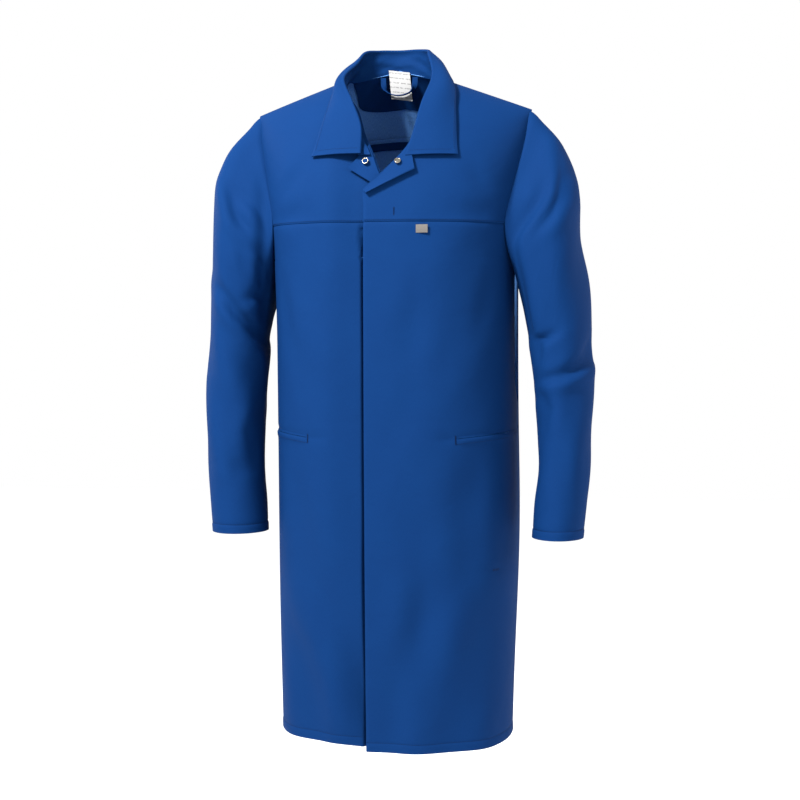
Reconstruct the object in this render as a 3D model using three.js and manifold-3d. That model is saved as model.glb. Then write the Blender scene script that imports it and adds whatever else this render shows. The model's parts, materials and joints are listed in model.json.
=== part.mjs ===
// A men's lab coat with a concealed press-stud front, hanging as it is worn on a body form.
// Millimetres, +Z up. +X is the wearer's left and the front faces -Y. The origin is the middle
// of the neck base, level with the tops of the shoulder seams.
import * as THREE from "three";
import { mergeVertices } from "three/addons/utils/BufferGeometryUtils.js";
import Module from "manifold-3d";

const wasm = await Module();
wasm.setup();

// ---------------------------------------------------------------- driving dimensions

const COAT_LENGTH = 1021; // shoulder top to hem
const SHOULDER_DROP = 51; // shoulder top to shoulder tip
const NECK_HALF = 72; // middle to the neck end of the shoulder seam
const NECK_BACK = 54; // neck base to the back neck seam
const BODY_HALF = 188; // middle to the side seam
const SHOULDER_HALF = BODY_HALF + 26; // middle to the shoulder tip
const SHOULDER_ROLL = 190; // drop over which the shoulder rolls into the chest
const FRONT_OVERLAP = 22; // each front edge runs this far past the middle
const LAPEL_BREAK = 171; // drop to where the front edge starts
const FRONT_YOKE_DROP = 227;
const CHEST_DROP = 227; // where the chest is fullest
const BACK_YOKE_DROP = 95;
const ARMPIT_DROP = 278;
const ELBOW_DROP = 400;
const SLEEVE_DROP = 702; // shoulder top to the cuff edge
const CLOTH = 1; // wall of every cloth piece
const SEAM_GAP = 0.4; // between pieces that meet edge to edge
const PLY_GAP = 0.8; // between plies that lie on each other
const HEM_HEIGHT = 14;
const FACING_WIDTH = 58;
const FLY_WIDTH = 42;
const FLY_INSET = 5; // front edge to the fly strip
const NECK_REACH = 0.5; // share of the back's columns that lie under the neck
const SEAM_TAPE_HEIGHT = 12;
const LEFT_FOLD_TOP = 235; // where the left front's fold meets its edge
const RIGHT_FOLD_TOP = 520;
const FOLD_HEM = 105; // middle to either fold, at the hem
const ARMHOLE_EASE = 90; // drop over which the sleeve swells from its seam to its full girth
const POCKET_MOUTH_DROP = 545;
const POCKET_INNER = 112; // middle to the inner end of a pocket mouth
const POCKET_MOUTH_HEIGHT = 6;
const POCKET_MOUTH_RISE = 8; // outer end above the inner end
const POCKET_BAG_TOP = 528;
const POCKET_BAG_BOTTOM = 758;
const POCKET_BAG_DEPTH = 22;
const SLIT_TOP = 292; // side access slit in the left side seam
const SLIT_BOTTOM = 500;
const SLIT_INSET = 1.4; // how far the slit pulls the front panel's edge in from the side
const STUD_RADIUS = 5;
const STUD_HEIGHT = 2;
const STUD_DROPS = [200, 325, 450, 575, 700, 825];
const STUD_GAP = 0.7;
const NARROWEST = 5; // where a tapering piece is cut off
const CUFF_SLIT_HEIGHT = 54;
const CUFF_SLIT_WIDTH = 3;
const TAG_WIDTH = 16;
const TAG_HEIGHT = 12;
const TAG_X = 65;
const LABEL_WIDTH = 34;
const LABEL_HEIGHT = 45;
const LOOP_HALF = 30;
const LOOP_DEPTH = 28;
const LOOP_BAND = 9;
const LOOP_THICKNESS = 1.2;
const LOOP_TOP = 10; // above the shoulder tops
const LOOP_Y = 48.2;
const LABEL_TOP = 13;
const LABEL_Y = 51.7;
const LAPEL_SEAT = 0.6; // lapel above the cloth at its fold
const LAPEL_LIFT = 2.8; // and at its free edge
const UNDER_LAPEL_EASE = 1; // more under the right lapel, where the front dips
const LAPEL_TIP_X = NECK_HALF - 25;
const LAPEL_TIP_DROP = 143;
const COLLAR_STAND_HEIGHT = 34; // back neck seam to the collar's fold
const COLLAR_LIFT = 8; // collar leaf's edge above the cloth under it
const COLLAR_CROWN = 7; // how far a collar leaf bulges
const COLLAR_BACK_EDGE = 10; // shoulder top to the back collar edge
const ROUNDNESS = 0.8; // exponent of the body section: 1 is an ellipse, less is squarer
const SIDE_TURN = Math.PI / 2 - 0.0006; // how near the side seam the front and back come
const RIDGE_ROLL = 0.0035; // how near the shoulder seam the cloth of the front and back comes

// How finely the back is divided.
const BACK_COLUMNS = 20;
const YOKE_COLUMNS = 24;
const YOKE_ROWS = 5;
const NECK_FACING_ROWS = 3;
const FLAP_COLUMNS = 8;
const HEM_COLUMN = 3; // where the flap's hem meets the facing
const SLEEVE_COLUMNS = 16;
const CUFF_COLUMN = (2 * Math.PI) / SLEEVE_COLUMNS;
const CUFF_SLIT_TURN = 14 * CUFF_COLUMN; // round the sleeve from its outer line, front first
const CUFF_STUD_TURN = 13 * CUFF_COLUMN;

// How far inside the outer cloth each ply starts.
const FACING_DEPTH = CLOTH + PLY_GAP;
const FLY_DEPTH = FACING_DEPTH + CLOTH + PLY_GAP;
const SOCKET_DEPTH = FLY_DEPTH + CLOTH + STUD_GAP;
const POST_DEPTH = SOCKET_DEPTH + STUD_HEIGHT + STUD_GAP;
const UNDER_FRONT_DEPTH = POST_DEPTH + STUD_HEIGHT + STUD_GAP;

// ---------------------------------------------------------------- numbers

const lerp = THREE.MathUtils.lerp;
const smooth = THREE.MathUtils.smoothstep;

// A smooth curve through [drop, value] stations, in order of drop.
function stations(list) {
  return (drop) => {
    let i = 0;
    while (i < list.length - 2 && drop > list[i + 1][0]) {
      i += 1;
    }
    const [fromDrop, from] = list[i];
    const [toDrop, to] = list[i + 1];
    const before = list[Math.max(i - 1, 0)];
    const after = list[Math.min(i + 2, list.length - 1)];
    const span = toDrop - fromDrop;
    const t = THREE.MathUtils.clamp((drop - fromDrop) / span, 0, 1);
    const slopeFrom = ((to - before[1]) / (toDrop - before[0])) * span;
    const slopeTo = ((after[1] - from) / (after[0] - fromDrop)) * span;
    const t2 = t * t;
    const t3 = t2 * t;
    return (
      (2 * t3 - 3 * t2 + 1) * from +
      (t3 - 2 * t2 + t) * slopeFrom +
      (3 * t2 - 2 * t3) * to +
      (t3 - t2) * slopeTo
    );
  };
}

// ---------------------------------------------------------------- the body of the coat

const halfWidth = stations([
  [0, SHOULDER_HALF + 1],
  [SHOULDER_DROP, SHOULDER_HALF + 1],
  [125, SHOULDER_HALF - 6],
  [180, BODY_HALF + 12],
  [230, BODY_HALF + 6],
  [ARMPIT_DROP, BODY_HALF + 2],
  [500, BODY_HALF],
  [800, BODY_HALF - 2],
  [COAT_LENGTH, BODY_HALF - 6],
]);
const frontDepth = stations([
  [-30, 100],
  [0, 104],
  [60, 114],
  [125, 128],
  [CHEST_DROP, 146],
  [400, 148],
  [700, 142],
  [COAT_LENGTH, 128],
]);
const backDepth = stations([
  [-30, 136],
  [60, 132],
  [BACK_YOKE_DROP, 130],
  [300, 132],
  [700, 130],
  [COAT_LENGTH, 126],
]);
const middleY = stations([
  [-30, 2],
  [SHOULDER_DROP, 2],
  [ARMPIT_DROP, 12],
  [COAT_LENGTH, 12],
]);
const frontArmhole = stations([
  [SHOULDER_DROP, SHOULDER_HALF],
  [90, SHOULDER_HALF - 4],
  [125, SHOULDER_HALF - 11],
  [178, BODY_HALF + 3],
  [220, BODY_HALF - 6],
  [250, BODY_HALF - 5],
  [ARMPIT_DROP, BODY_HALF + 1],
]);
const backArmhole = stations([
  [SHOULDER_DROP, SHOULDER_HALF],
  [125, SHOULDER_HALF - 8],
  [178, BODY_HALF + 9],
  [230, BODY_HALF + 2],
  [ARMPIT_DROP, BODY_HALF + 1],
]);
const neckEdge = stations([
  [0, NECK_HALF],
  [30, NECK_HALF - 3],
  [60, NECK_HALF - 10],
  [99, NECK_HALF - 24],
  [125, NECK_HALF - 38],
  [150, 5],
  [LAPEL_BREAK, -FRONT_OVERLAP],
  [LAPEL_BREAK + 20, -FRONT_OVERLAP],
]);

// The shoulder seam's drop at a distance from the middle.
function shoulderDrop(x) {
  const slope = SHOULDER_DROP / (SHOULDER_HALF - NECK_HALF);
  return (Math.abs(x) - NECK_HALF) * slope;
}

// The shoulder rolls over as a quarter circle, then falls straight: roll 1 is where it ends.
function dropOfRoll(roll) {
  if (roll <= 1) {
    return SHOULDER_ROLL * (1 - Math.cos((roll * Math.PI) / 2));
  }
  return SHOULDER_ROLL * (1 + ((roll - 1) * Math.PI) / 2);
}

function rollOfDrop(fall) {
  if (fall <= SHOULDER_ROLL) {
    return Math.acos(1 - Math.max(fall, 0) / SHOULDER_ROLL) / (Math.PI / 2);
  }
  return 1 + (fall / SHOULDER_ROLL - 1) / (Math.PI / 2);
}

// The turn round the body section, 0 at the middle and a quarter turn at the side seam.
function turnOf(x, drop) {
  const share = Math.min(Math.abs(x) / halfWidth(drop), 1);
  return Math.sign(x) * Math.asin(share ** (1 / ROUNDNESS));
}

function bodyPoint(face, turn, roll) {
  const across = Math.abs(Math.sin(turn)) ** ROUNDNESS * Math.sign(turn);
  let drop = SHOULDER_DROP;
  let x = 0;
  for (let i = 0; i < 6; i += 1) {
    x = halfWidth(drop) * across;
    drop = shoulderDrop(x) + dropOfRoll(roll);
  }
  const out = Math.max(Math.cos(turn), 0) ** ROUNDNESS * Math.sin((Math.min(roll, 1) * Math.PI) / 2);
  const depth = face < 0 ? frontDepth(drop) : backDepth(drop);
  return new THREE.Vector3(x, middleY(drop) + face * depth * out, -drop);
}

// A point a given depth inside the coat's front (face -1) or back (face 1).
function insideBody(face, turn, roll, depth) {
  const step = 0.004;
  const t = THREE.MathUtils.clamp(turn, -Math.PI / 2 + 2 * step, Math.PI / 2 - 2 * step);
  const r = Math.max(roll, 2 * step);
  const along = bodyPoint(face, t + step, r).sub(bodyPoint(face, t - step, r));
  const down = bodyPoint(face, t, r + step).sub(bodyPoint(face, t, r - step));
  const normal = along.cross(down).normalize();
  const inward = normal.multiplyScalar(face < 0 ? -1 : 1);
  if (inward.y * face > 0.001) {
    inward.negate();
  }
  return bodyPoint(face, turn, roll).addScaledVector(inward, depth);
}

function onBody(face, x, drop, depth) {
  return insideBody(face, turnOf(x, drop), rollOfDrop(drop - shoulderDrop(x)), depth);
}

// ---------------------------------------------------------------- meshes

const COLOURS = {
  cloth: [0x234687, 0.9, 0],
  inside: [0x213964, 0.92, 0],
  metal: [0xb9bcc2, 0.35, 0.9],
  label: [0xe0e0e0, 0.8, 0],
  tag: [0x957c78, 0.6, 0],
};

const coat = new THREE.Group();

function addMesh(name, finish, geometry) {
  const [color, roughness, metalness] = COLOURS[finish];
  const mesh = new THREE.Mesh(geometry, new THREE.MeshStandardMaterial({ color, roughness, metalness }));
  mesh.name = name;
  coat.add(mesh);
  return mesh;
}

// A closed shell from a grid of outer points and a grid of inner points.
// With wrap, the last column joins the first and the shell is a tube.
function shellGeometry(outer, inner, wrap) {
  const columns = outer.length;
  const rows = outer[0].length;
  const positions = [...outer.flat(), ...inner.flat()].flatMap((p) => [p.x, p.y, p.z]);
  const index = [];
  const at = (layer, i, j) => layer * columns * rows + (i % columns) * rows + j;
  const quad = (a, b, c, d) => index.push(a, b, c, a, c, d);
  const last = wrap ? columns : columns - 1;
  for (let i = 0; i < last; i += 1) {
    for (let j = 0; j < rows - 1; j += 1) {
      quad(at(0, i, j), at(0, i + 1, j), at(0, i + 1, j + 1), at(0, i, j + 1));
      quad(at(1, i, j), at(1, i, j + 1), at(1, i + 1, j + 1), at(1, i + 1, j));
    }
    quad(at(0, i + 1, 0), at(0, i, 0), at(1, i, 0), at(1, i + 1, 0));
    quad(at(0, i, rows - 1), at(0, i + 1, rows - 1), at(1, i + 1, rows - 1), at(1, i, rows - 1));
  }
  if (!wrap) {
    for (let j = 0; j < rows - 1; j += 1) {
      quad(at(0, 0, j), at(0, 0, j + 1), at(1, 0, j + 1), at(1, 0, j));
      quad(at(0, last, j + 1), at(0, last, j), at(1, last, j), at(1, last, j + 1));
    }
  }
  return outwardGeometry(positions, index);
}

// The geometry with its faces turned out, whichever way its grid ran.
function outwardGeometry(positions, index) {
  const corner = (k) => new THREE.Vector3().fromArray(positions, index[k] * 3);
  let volume = 0;
  for (let k = 0; k < index.length; k += 3) {
    volume += corner(k).dot(corner(k + 1).cross(corner(k + 2)));
  }
  if (volume < 0) {
    for (let k = 0; k < index.length; k += 3) {
      [index[k + 1], index[k + 2]] = [index[k + 2], index[k + 1]];
    }
  }
  const geometry = new THREE.BufferGeometry();
  geometry.setAttribute("position", new THREE.Float32BufferAttribute(positions, 3));
  geometry.setIndex(index);
  return geometry;
}

// A sheet whose point(u, v, depth) is given at depths from outerDepth to innerDepth.
function sheetGeometry(point, columns, rows, outerDepth, innerDepth, wrap = false) {
  const grid = (depth) =>
    Array.from({ length: wrap ? columns : columns + 1 }, (_, i) =>
      Array.from({ length: rows + 1 }, (__, j) => {
        const d = typeof depth === "function" ? depth(i / columns, j / rows) : depth;
        return point(i / columns, j / rows, d);
      }),
    );
  return shellGeometry(grid(outerDepth), grid(innerDepth), wrap);
}

function solidOf(geometry) {
  const bare = geometry.clone();
  bare.deleteAttribute("normal");
  bare.deleteAttribute("uv");
  const merged = mergeVertices(bare, 1e-4);
  return new wasm.Manifold(
    new wasm.Mesh({
      numProp: 3,
      vertProperties: merged.attributes.position.array,
      triVerts: new Uint32Array(merged.index.array),
    }),
  );
}

function cut(geometry, ...tools) {
  const solid = tools.reduce((rest, tool) => rest.subtract(solidOf(tool)), solidOf(geometry));
  const mesh = solid.getMesh();
  const result = new THREE.BufferGeometry();
  result.setAttribute("position", new THREE.BufferAttribute(mesh.vertProperties, 3));
  result.setIndex(new THREE.BufferAttribute(mesh.triVerts, 1));
  return result;
}

// A geometry standing on a point with its own +Z along a direction.
function stand(geometry, point, direction) {
  const turn = new THREE.Quaternion().setFromUnitVectors(new THREE.Vector3(0, 0, 1), direction);
  return geometry.clone().applyQuaternion(turn).translate(point.x, point.y, point.z);
}

// ---------------------------------------------------------------- front and back panels

// A patch of the body between two edges, given as distances from the middle at each drop.
// side 1 is the wearer's left, and distances are mirrored for the right. An ease over 1 sets
// the rows closer together at the top.
function bodyPatch({ face, side, top, bottom, inner, outer, sink = () => 0, ease = 1 }) {
  const edgeTurn = (x, drop) => THREE.MathUtils.clamp(turnOf(x, drop), -SIDE_TURN, SIDE_TURN);
  return (u, v, depth) => {
    const drop = lerp(top, bottom, (1 - v) ** ease);
    const turn = lerp(edgeTurn(inner(drop), drop), edgeTurn(outer(drop), drop), u);
    const x = halfWidth(drop) * Math.abs(Math.sin(turn)) ** ROUNDNESS * Math.sign(turn);
    const p = insideBody(face, turn, rollOfDrop(drop - shoulderDrop(x)), depth + sink(x));
    p.x *= side;
    return p;
  };
}

// The right front dips under the left one near the middle.
function underLeft(x) {
  return UNDER_FRONT_DEPTH * (1 - smooth(x, NECK_HALF - 42, NECK_HALF + 10));
}

// The fold runs straight from the front edge down and out to the hem.
function foldSlope(side) {
  return (FOLD_HEM + FRONT_OVERLAP) / (COAT_LENGTH - (side > 0 ? LEFT_FOLD_TOP : RIGHT_FOLD_TOP));
}

function foldLine(side) {
  const foldTop = side > 0 ? LEFT_FOLD_TOP : RIGHT_FOLD_TOP;
  return (drop) => -FRONT_OVERLAP + (drop - foldTop) * foldSlope(side);
}

// A yoke: from the shoulder seam to the yoke seam, between the neck and the armhole.
function frontYoke(side, sink) {
  const bottom = FRONT_YOKE_DROP - SEAM_GAP;
  return (u, v, depth) => {
    const neckDrop = dropOfRoll(rollOfDrop(bottom) * (1 - v));
    const armDrop = SHOULDER_DROP + dropOfRoll(rollOfDrop(bottom - SHOULDER_DROP) * (1 - v));
    const turn = lerp(turnOf(neckEdge(neckDrop), neckDrop), turnOf(frontArmhole(armDrop), armDrop), u);
    const across = Math.abs(Math.sin(turn)) ** ROUNDNESS * Math.sign(turn);
    const x = halfWidth(lerp(neckDrop, armDrop, u)) * across;
    const roll = Math.max(rollOfDrop(bottom - shoulderDrop(x)) * (1 - v), RIDGE_ROLL);
    const p = insideBody(-1, turn, roll, depth + sink(x));
    p.x *= side;
    return p;
  };
}

const flat = () => 0;
const SIDES = [
  { name: "left", side: 1, foldTop: LEFT_FOLD_TOP, sink: flat },
  { name: "right", side: -1, foldTop: RIGHT_FOLD_TOP, sink: underLeft },
];

// The part of a patch between two shares of its width and of its height.
function share(point, u0, u1, v0, v1) {
  return (u, v, depth) => point(lerp(u0, u1, u), lerp(v0, v1, v), depth);
}

function addSheet(name, finish, point, columns, rows, outerDepth, innerDepth, wrap) {
  return addMesh(name, finish, sheetGeometry(point, columns, rows, outerDepth, innerDepth, wrap));
}

function sideEdge(side, drop) {
  if (drop < ARMPIT_DROP) {
    return frontArmhole(drop);
  }
  const opening = smooth(drop, SLIT_TOP - 6, SLIT_TOP + 12) * (1 - smooth(drop, SLIT_BOTTOM - 40, SLIT_BOTTOM));
  return halfWidth(drop) - (side > 0 ? SLIT_INSET * opening : 0);
}

// A slot through the front panel, sloping down towards the middle, for a pocket's mouth.
function pocketMouth(side) {
  const length = BODY_HALF + 10 - POCKET_INNER;
  const slot = new THREE.BoxGeometry(length, 200, POCKET_MOUTH_HEIGHT);
  slot.rotateY(-Math.atan2(POCKET_MOUTH_RISE, length) * side);
  return slot.translate(side * (POCKET_INNER + length / 2), -100, -POCKET_MOUTH_DROP);
}

// The front panel is one cloth: the flap is its lower inner corner, which folds back.
function addFront({ name, side, foldTop, sink }) {
  const fold = foldLine(side);
  const edge = () => -FRONT_OVERLAP;
  const beyondFold = (drop) => Math.max(fold(drop) + SEAM_GAP, -FRONT_OVERLAP);
  const beforeFold = (drop) => fold(drop) - SEAM_GAP / 2;
  const outer = (drop) => sideEdge(side, drop);
  const patch = (top, bottom, from, to, ease) =>
    bodyPatch({ face: -1, side, top, bottom, inner: from, outer: to, sink, ease });
  const dropAtFold = (x) => foldTop + (x + FRONT_OVERLAP) / foldSlope(side);

  addSheet(`${name}_front_yoke`, "cloth", frontYoke(side, sink), 13, 12, 0, CLOTH);

  const panel = patch(FRONT_YOKE_DROP + SEAM_GAP, COAT_LENGTH, beyondFold, outer, 1.3);
  addMesh(`${name}_front_panel`, "cloth", cut(sheetGeometry(panel, 11, 16, 0, CLOTH), pocketMouth(side)));

  const flapTop = dropAtFold(-FRONT_OVERLAP + NARROWEST);
  const flap = patch(flapTop, COAT_LENGTH, edge, beforeFold);
  addSheet(`${name}_front_flap`, "cloth", flap, FLAP_COLUMNS, 12, 0, CLOTH);

  const facingEdge = FACING_WIDTH - FRONT_OVERLAP;
  const upperFacing = patch(LAPEL_BREAK + 8, dropAtFold(facingEdge - NARROWEST), beyondFold, () => facingEdge);
  addSheet(`${name}_upper_facing`, "inside", upperFacing, 3, 9, FACING_DEPTH, FACING_DEPTH + CLOTH);

  const lowerFacing = patch(flapTop, COAT_LENGTH, edge, (drop) => Math.min(beforeFold(drop), facingEdge));
  addSheet(`${name}_lower_facing`, "inside", lowerFacing, 3, 14, FACING_DEPTH, FACING_DEPTH + CLOTH);

  const hemTop = COAT_LENGTH - HEM_HEIGHT;
  const flapHem = share(flap, HEM_COLUMN / FLAP_COLUMNS, 1, 0, HEM_HEIGHT / (COAT_LENGTH - flapTop));
  addSheet(`${name}_flap_hem`, "inside", flapHem, FLAP_COLUMNS - HEM_COLUMN, 1, FACING_DEPTH, FACING_DEPTH + CLOTH);
  const sideHem = patch(hemTop, COAT_LENGTH, beyondFold, outer);
  addSheet(`${name}_front_hem`, "inside", sideHem, 5, 1, FACING_DEPTH, FACING_DEPTH + CLOTH);

  // The pocket bag is sewn flat to the panel round its edge and is deepest at its middle.
  const bag = patch(POCKET_BAG_TOP, POCKET_BAG_BOTTOM, () => POCKET_INNER - 6, () => BODY_HALF - 10);
  const bagDepth = (u, v) =>
    FACING_DEPTH + POCKET_BAG_DEPTH * (Math.sin(Math.PI * u) * Math.sin(Math.PI * v)) ** 0.4;
  addSheet(`${name}_pocket_bag`, "inside", bag, 6, 10, bagDepth, (u, v) => bagDepth(u, v) + CLOTH);
}

SIDES.forEach(addFront);

// ---------------------------------------------------------------- concealed fly

function addFly() {
  const fold = foldLine(1);
  const inner = FLY_INSET - FRONT_OVERLAP;
  const outer = inner + FLY_WIDTH;
  const dropAtFold = (x) => LEFT_FOLD_TOP + (x + FRONT_OVERLAP) / foldSlope(1);
  const strip = (top, bottom, from, to) =>
    bodyPatch({ face: -1, side: 1, top, bottom, inner: from, outer: to });
  const upper = strip(
    LAPEL_BREAK + 16,
    dropAtFold(outer - NARROWEST),
    (drop) => Math.max(fold(drop) + SEAM_GAP, inner),
    () => outer,
  );
  addSheet("fly_strip_upper", "inside", upper, 3, 8, FLY_DEPTH, FLY_DEPTH + CLOTH);
  const lower = strip(
    dropAtFold(inner + NARROWEST),
    STUD_DROPS.at(-1) + 60,
    () => inner,
    (drop) => Math.min(fold(drop) - SEAM_GAP / 2, outer),
  );
  addSheet("fly_strip_lower", "inside", lower, 3, 12, FLY_DEPTH, FLY_DEPTH + CLOTH);
}

// A press-stud half: a disc standing on the cloth at a place on the body's front.
function studDisc(x, drop, depth, radius) {
  const disc = new THREE.CylinderGeometry(radius, radius, STUD_HEIGHT, 14);
  disc.rotateX(Math.PI / 2);
  const outside = onBody(-1, x, drop, depth);
  const inside = onBody(-1, x, drop, depth + STUD_HEIGHT);
  const middle = outside.clone().add(inside).multiplyScalar(0.5);
  return stand(disc, middle, outside.sub(inside).normalize());
}

addFly();
STUD_DROPS.forEach((drop, i) => {
  addMesh(`front_stud_socket_${i + 1}`, "metal", studDisc(0, drop, SOCKET_DEPTH, STUD_RADIUS));
  addMesh(`front_stud_post_${i + 1}`, "metal", studDisc(0, drop, POST_DEPTH, STUD_RADIUS * 0.8));
});

// ---------------------------------------------------------------- back

// The back neck seam is half an ellipse in plan, lying on the rolled shoulder.
function neckSeamRoll(x) {
  const share = Math.min(Math.abs(x) / NECK_HALF, 1);
  const y = NECK_BACK * Math.sqrt(1 - share * share);
  return (Math.asin(Math.min(y / 132, 1)) / Math.PI) * 2;
}

// The back yoke, from the neck and the shoulder seams down to its seam.
function backYoke() {
  const bottom = BACK_YOKE_DROP - SEAM_GAP;
  return (u, v, depth) => {
    const reach = lerp(-1, 1, u);
    const armDrop = lerp(bottom, SHOULDER_DROP, v);
    const neckShare = Math.min(Math.abs(reach) / NECK_REACH, 1);
    const armShare = Math.max(Math.abs(reach) - NECK_REACH, 0) / (1 - NECK_REACH);
    const seamX = NECK_HALF * Math.sin((neckShare * Math.PI) / 2) + (SHOULDER_HALF - NECK_HALF) * armShare;
    const x = (Math.sign(reach) * seamX * backArmhole(armDrop)) / SHOULDER_HALF;
    const seamRoll = Math.max(neckSeamRoll(seamX), RIDGE_ROLL);
    const roll = lerp(rollOfDrop(bottom - shoulderDrop(x)), seamRoll, v);
    return insideBody(1, turnOf(x, shoulderDrop(x) + dropOfRoll(roll)), roll, depth);
  };
}

const backEdge = (drop) => (drop < ARMPIT_DROP ? backArmhole(drop) : halfWidth(drop));

function backPatch(top, bottom, ease) {
  return bodyPatch({ face: 1, side: 1, top, bottom, inner: (drop) => -backEdge(drop), outer: backEdge, ease });
}

const yoke = backYoke();
addSheet("back_yoke", "cloth", yoke, YOKE_COLUMNS, YOKE_ROWS, 0, CLOTH);
addSheet("back_panel", "cloth", backPatch(BACK_YOKE_DROP, COAT_LENGTH, 1.7), BACK_COLUMNS, 16, 0, CLOTH);
addSheet(
  "back_yoke_seam_tape",
  "inside",
  backPatch(BACK_YOKE_DROP, BACK_YOKE_DROP + SEAM_TAPE_HEIGHT),
  BACK_COLUMNS,
  1,
  FACING_DEPTH,
  FACING_DEPTH + CLOTH,
);
addSheet(
  "back_hem",
  "inside",
  backPatch(COAT_LENGTH - HEM_HEIGHT, COAT_LENGTH),
  BACK_COLUMNS,
  1,
  FACING_DEPTH,
  FACING_DEPTH + CLOTH,
);
addSheet(
  "back_neck_facing",
  "inside",
  share(yoke, (1 - NECK_REACH) / 2, (1 + NECK_REACH) / 2, 1 - NECK_FACING_ROWS / YOKE_ROWS, 1),
  YOKE_COLUMNS * NECK_REACH,
  NECK_FACING_ROWS,
  FACING_DEPTH,
  FACING_DEPTH + CLOTH,
);

// ---------------------------------------------------------------- sleeves

const sleeveOuter = stations([
  [SHOULDER_DROP, SHOULDER_HALF + 6],
  [76, SHOULDER_HALF + 26],
  [113, SHOULDER_HALF + 48],
  [163, SHOULDER_HALF + 65],
  [235, SHOULDER_HALF + 76],
  [313, SHOULDER_HALF + 88],
  [422, SHOULDER_HALF + 95],
  [575, SHOULDER_HALF + 91],
  [650, SHOULDER_HALF + 84],
  [SLEEVE_DROP, SHOULDER_HALF + 77],
]);
const sleeveInner = stations([
  [SHOULDER_DROP, BODY_HALF - 8],
  [ARMPIT_DROP, BODY_HALF + 4],
  [370, BODY_HALF + 12],
  [418, BODY_HALF + 19],
  [577, BODY_HALF + 27],
  [650, BODY_HALF + 26],
  [SLEEVE_DROP, BODY_HALF + 26],
]);
const sleeveHalfDepth = stations([
  [SHOULDER_DROP, 62],
  [150, 76],
  [235, 84],
  [330, 80],
  [ELBOW_DROP, 72],
  [600, 60],
  [SLEEVE_DROP, 54],
]);
const sleeveMiddleY = stations([
  [SHOULDER_DROP, 2],
  [ARMPIT_DROP, 8],
  [ELBOW_DROP, 4],
  [SLEEVE_DROP, -20],
]);

function sleeveSection(turn, drop) {
  const outer = sleeveOuter(drop);
  const inner = sleeveInner(drop);
  const x = (outer + inner) / 2 + ((outer - inner) / 2) * Math.cos(turn);
  return new THREE.Vector3(x, sleeveMiddleY(drop) - sleeveHalfDepth(drop) * Math.sin(turn), -drop);
}

// The armhole seam: over the shoulder tip at turn 0, down the front to the armpit at half a turn.
function armholeDrop(turn) {
  return lerp(SHOULDER_DROP, ARMPIT_DROP, (1 - Math.cos(turn)) / 2);
}

function armholePoint(turn) {
  const drop = armholeDrop(turn);
  const face = Math.sin(turn) >= 0 ? -1 : 1;
  const x = face < 0 ? frontArmhole(drop) : backArmhole(drop);
  const seam = bodyPoint(face, turnOf(x, drop), rollOfDrop(drop - shoulderDrop(x)));
  return new THREE.Vector3(x + 3 * SEAM_GAP, seam.y, -drop);
}

// A sleeve surface point: turn round the arm, and fall from the armhole (0) to the cuff (1).
function sleeveSkin(turn, fall) {
  const start = armholeDrop(turn);
  const drop = lerp(start, SLEEVE_DROP, fall);
  const seamPull = armholePoint(turn).sub(sleeveSection(turn, start));
  const fade = Math.exp(-Math.pow((drop - start) / ARMHOLE_EASE, 2) * 1.2);
  return sleeveSection(turn, drop).addScaledVector(seamPull, fade);
}

function insideSleeve(side, turn, fall, depth) {
  const step = 0.01;
  const f = THREE.MathUtils.clamp(fall, step, 1 - step);
  const round = sleeveSkin(turn + step, f).sub(sleeveSkin(turn - step, f));
  const down = sleeveSkin(turn, f + step).sub(sleeveSkin(turn, f - step));
  const inward = down.cross(round).normalize();
  const p = sleeveSkin(turn, fall).addScaledVector(inward, depth);
  p.x *= side;
  return p;
}

// A length of sleeve between two drops; the armhole end has drop null.
function sleeveLength(side, top, bottom, turns = [0, 2 * Math.PI]) {
  const fallAt = (turn, drop) => {
    const start = armholeDrop(turn);
    return drop === null ? 0 : (drop - start) / (SLEEVE_DROP - start);
  };
  return (u, v, depth) => {
    const turn = lerp(turns[0], turns[1], u);
    return insideSleeve(side, turn, lerp(fallAt(turn, bottom), fallAt(turn, top), v), depth);
  };
}

function cuffSlit(side) {
  const middle = insideSleeve(side, CUFF_SLIT_TURN, 1, 0);
  const inner = insideSleeve(side, CUFF_SLIT_TURN, 1, 1);
  const slot = new THREE.BoxGeometry(16, CUFF_SLIT_WIDTH, 2 * CUFF_SLIT_HEIGHT);
  slot.rotateZ(Math.atan2(inner.y - middle.y, inner.x - middle.x));
  return slot.translate(middle.x, middle.y, middle.z);
}

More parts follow.
